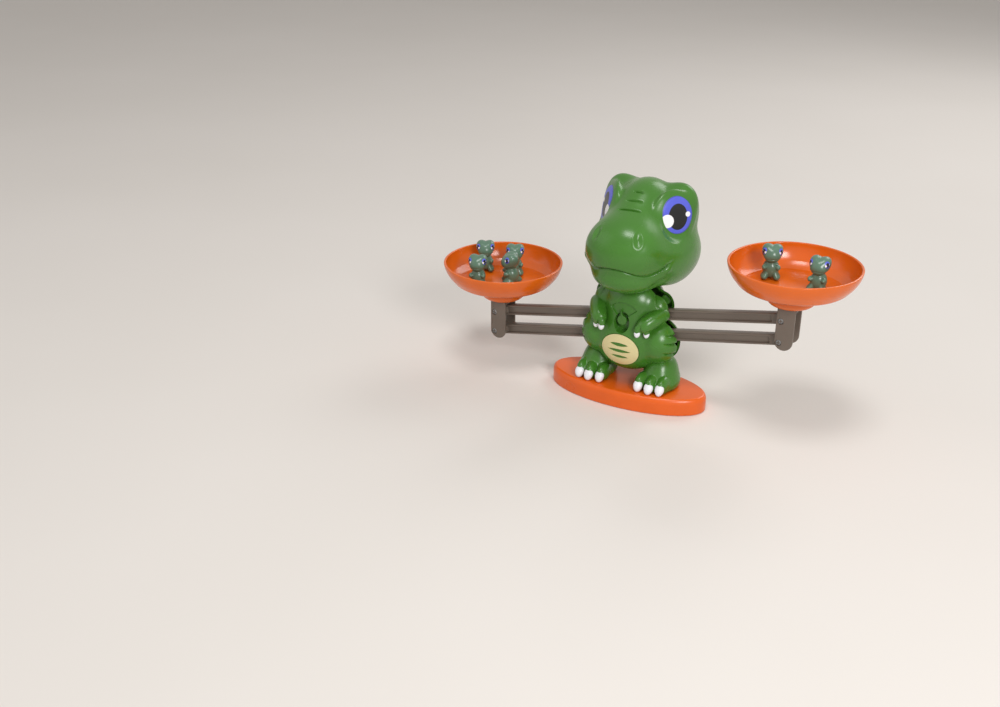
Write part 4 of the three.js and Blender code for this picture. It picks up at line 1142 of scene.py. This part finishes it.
def figure_eye(side):
    """A low oval dome on the head's upper corner, 4.8 mm wide and 5.8 mm tall."""
    out = unit(np.array([side * 0.74, -0.64, 0.2]))
    back, up = square_to(out, np.array([side * 0.74, 0.66, 0.0]))
    up = up * np.sign(up[2])
    u, v, r = oval_rings(2.4, 2.9, 12, 40)
    start = FIGURE_EYE * (side, 1, 1)
    spot = start + u[..., None] * back + v[..., None] * up
    ways = np.broadcast_to(out, spot.shape)
    lift = reach(figure_form, spot, ways, 9) + 0.05 + 0.25 * np.sqrt(np.clip(1 - r ** 2, 0, 1))
    front = spot + ways * lift[..., None]
    rear = np.broadcast_to(start - out, front[:1].shape)
    return solid(np.concatenate([front, rear])), start, back, up


figure_points, figure_faces = ball(figure_surface, (0, -0.5, 13), 24, 120, 130)
for number, (pan, across, along, turn) in enumerate(FIGURES, 1):
    node, body = f"figure_{number}", f"counter_{number}"
    place = np.array([PAN_X[pan] + across * PAN_RADIUS, along * PAN_RADIUS,
                      corners_of(node)[0][2]])
    fit(node, [(spun(figure_points, turn) + place, figure_faces)], SLATE, body)
    for side, word in SIDES:
        (points, faces), start, back, up = figure_eye(side)
        part = shape(f"{node}_{word}_eye", [(spun(points, turn) + place, faces)])
        dress(part, EYE, body)
        eye_map(part, spun(start, turn) + place, spun(back, turn), spun(up, turn), EYE_SHRINK)


# ---- nodes that keep their CAD shape
KEPT = {"base_bottom_plate": ORANGE, "upper_pivot_shaft": STEEL, "lower_pivot_pin": STEEL}
KEPT.update({name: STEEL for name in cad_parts
             if name.startswith(("base_screw", "leg_screw"))})
for name, (_, finish) in KEPT.items():
    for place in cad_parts[name].material_slots:
        place.material = finish


# ---- floor, light
FLOOR_HALF, FLOOR_DROP = 3, -0.0004  # metres, as are the lamps' places and sizes
LAMPS = (("top", (0.1, -0.55, 1.75), 0.5, 9), ("key", (1.15, -1.1, 0.95), 0.5, 15),
         ("fill", (-1.5, -1.0, 1.1), 1.2, 2), ("back", (0.4, 1.4, 1.2), 0.9, 8))
LAMPS_FACE = Vector((0, 0, 0.1))


def matt_board(tree, place):
    """Pale matt painted board, with a faint unevenness in tone over some 300 mm."""
    cloud = add(tree, "TexNoise", {"Vector": place, "Scale": 3.0})
    ramp = add(tree, "ValToRGB", {"Fac": cloud.outputs["Fac"]})
    for stop, code in zip(ramp.color_ramp.elements, ("e3ddd6", "e9e3dd")):
        stop.color = linear(code)
    return {"Base Color": ramp.outputs["Color"], "Roughness": 0.8}


def floor():
    """A flat floor of 6 m each way, just under the table's height."""
    corners = ((-1, -1), (1, -1), (1, 1), (-1, 1))
    mesh = bpy.data.meshes.new("floor")
    mesh.from_pydata([(FLOOR_HALF * x, FLOOR_HALF * y, FLOOR_DROP) for x, y in corners], [],
                     [(0, 1, 2, 3)])
    sheet = bpy.data.objects.new("floor", mesh)
    sheet.data.materials.append(material("pale_matt_board", matt_board))
    bpy.context.scene.collection.objects.link(sheet)


def lamp(name, place, size, watts):
    """A square soft lamp at a place, facing the object."""
    light = bpy.data.lights.new(name, "AREA")
    light.shape = "SQUARE"
    light.size, light.energy = size, watts
    item = bpy.data.objects.new(name, light)
    item.location = place
    item.rotation_euler = (LAMPS_FACE - Vector(place)).to_track_quat("-Z", "Y").to_euler()
    bpy.context.scene.collection.objects.link(item)


floor()
for name, place, size, watts in LAMPS:
    lamp(name, place, size, watts)
world = bpy.data.worlds.new("studio")
bpy.context.scene.world = world
world.use_nodes = True
sky = world.node_tree
sky.nodes.clear()
path = add(sky, "LightPath")
seen = add(sky, "Math", {0: path.outputs["Is Camera Ray"], 1: path.outputs["Is Transmission Ray"]},
           operation="MAXIMUM")
seen = add(sky, "Math", {0: seen.outputs[0], 1: path.outputs["Is Glossy Ray"]}, operation="MAXIMUM")
plain = add(sky, "Background", {"Color": linear("f6f4f2"), "Strength": 0.42})
pale = add(sky, "Background", {"Color": linear("e6e1db"), "Strength": 0.9})
both = add(sky, "MixShader", {0: seen.outputs[0], 1: plain.outputs[0], 2: pale.outputs[0]})
add(sky, "OutputWorld", {"Surface": both.outputs[0]})
bpy.context.scene.view_settings.view_transform = "Standard"
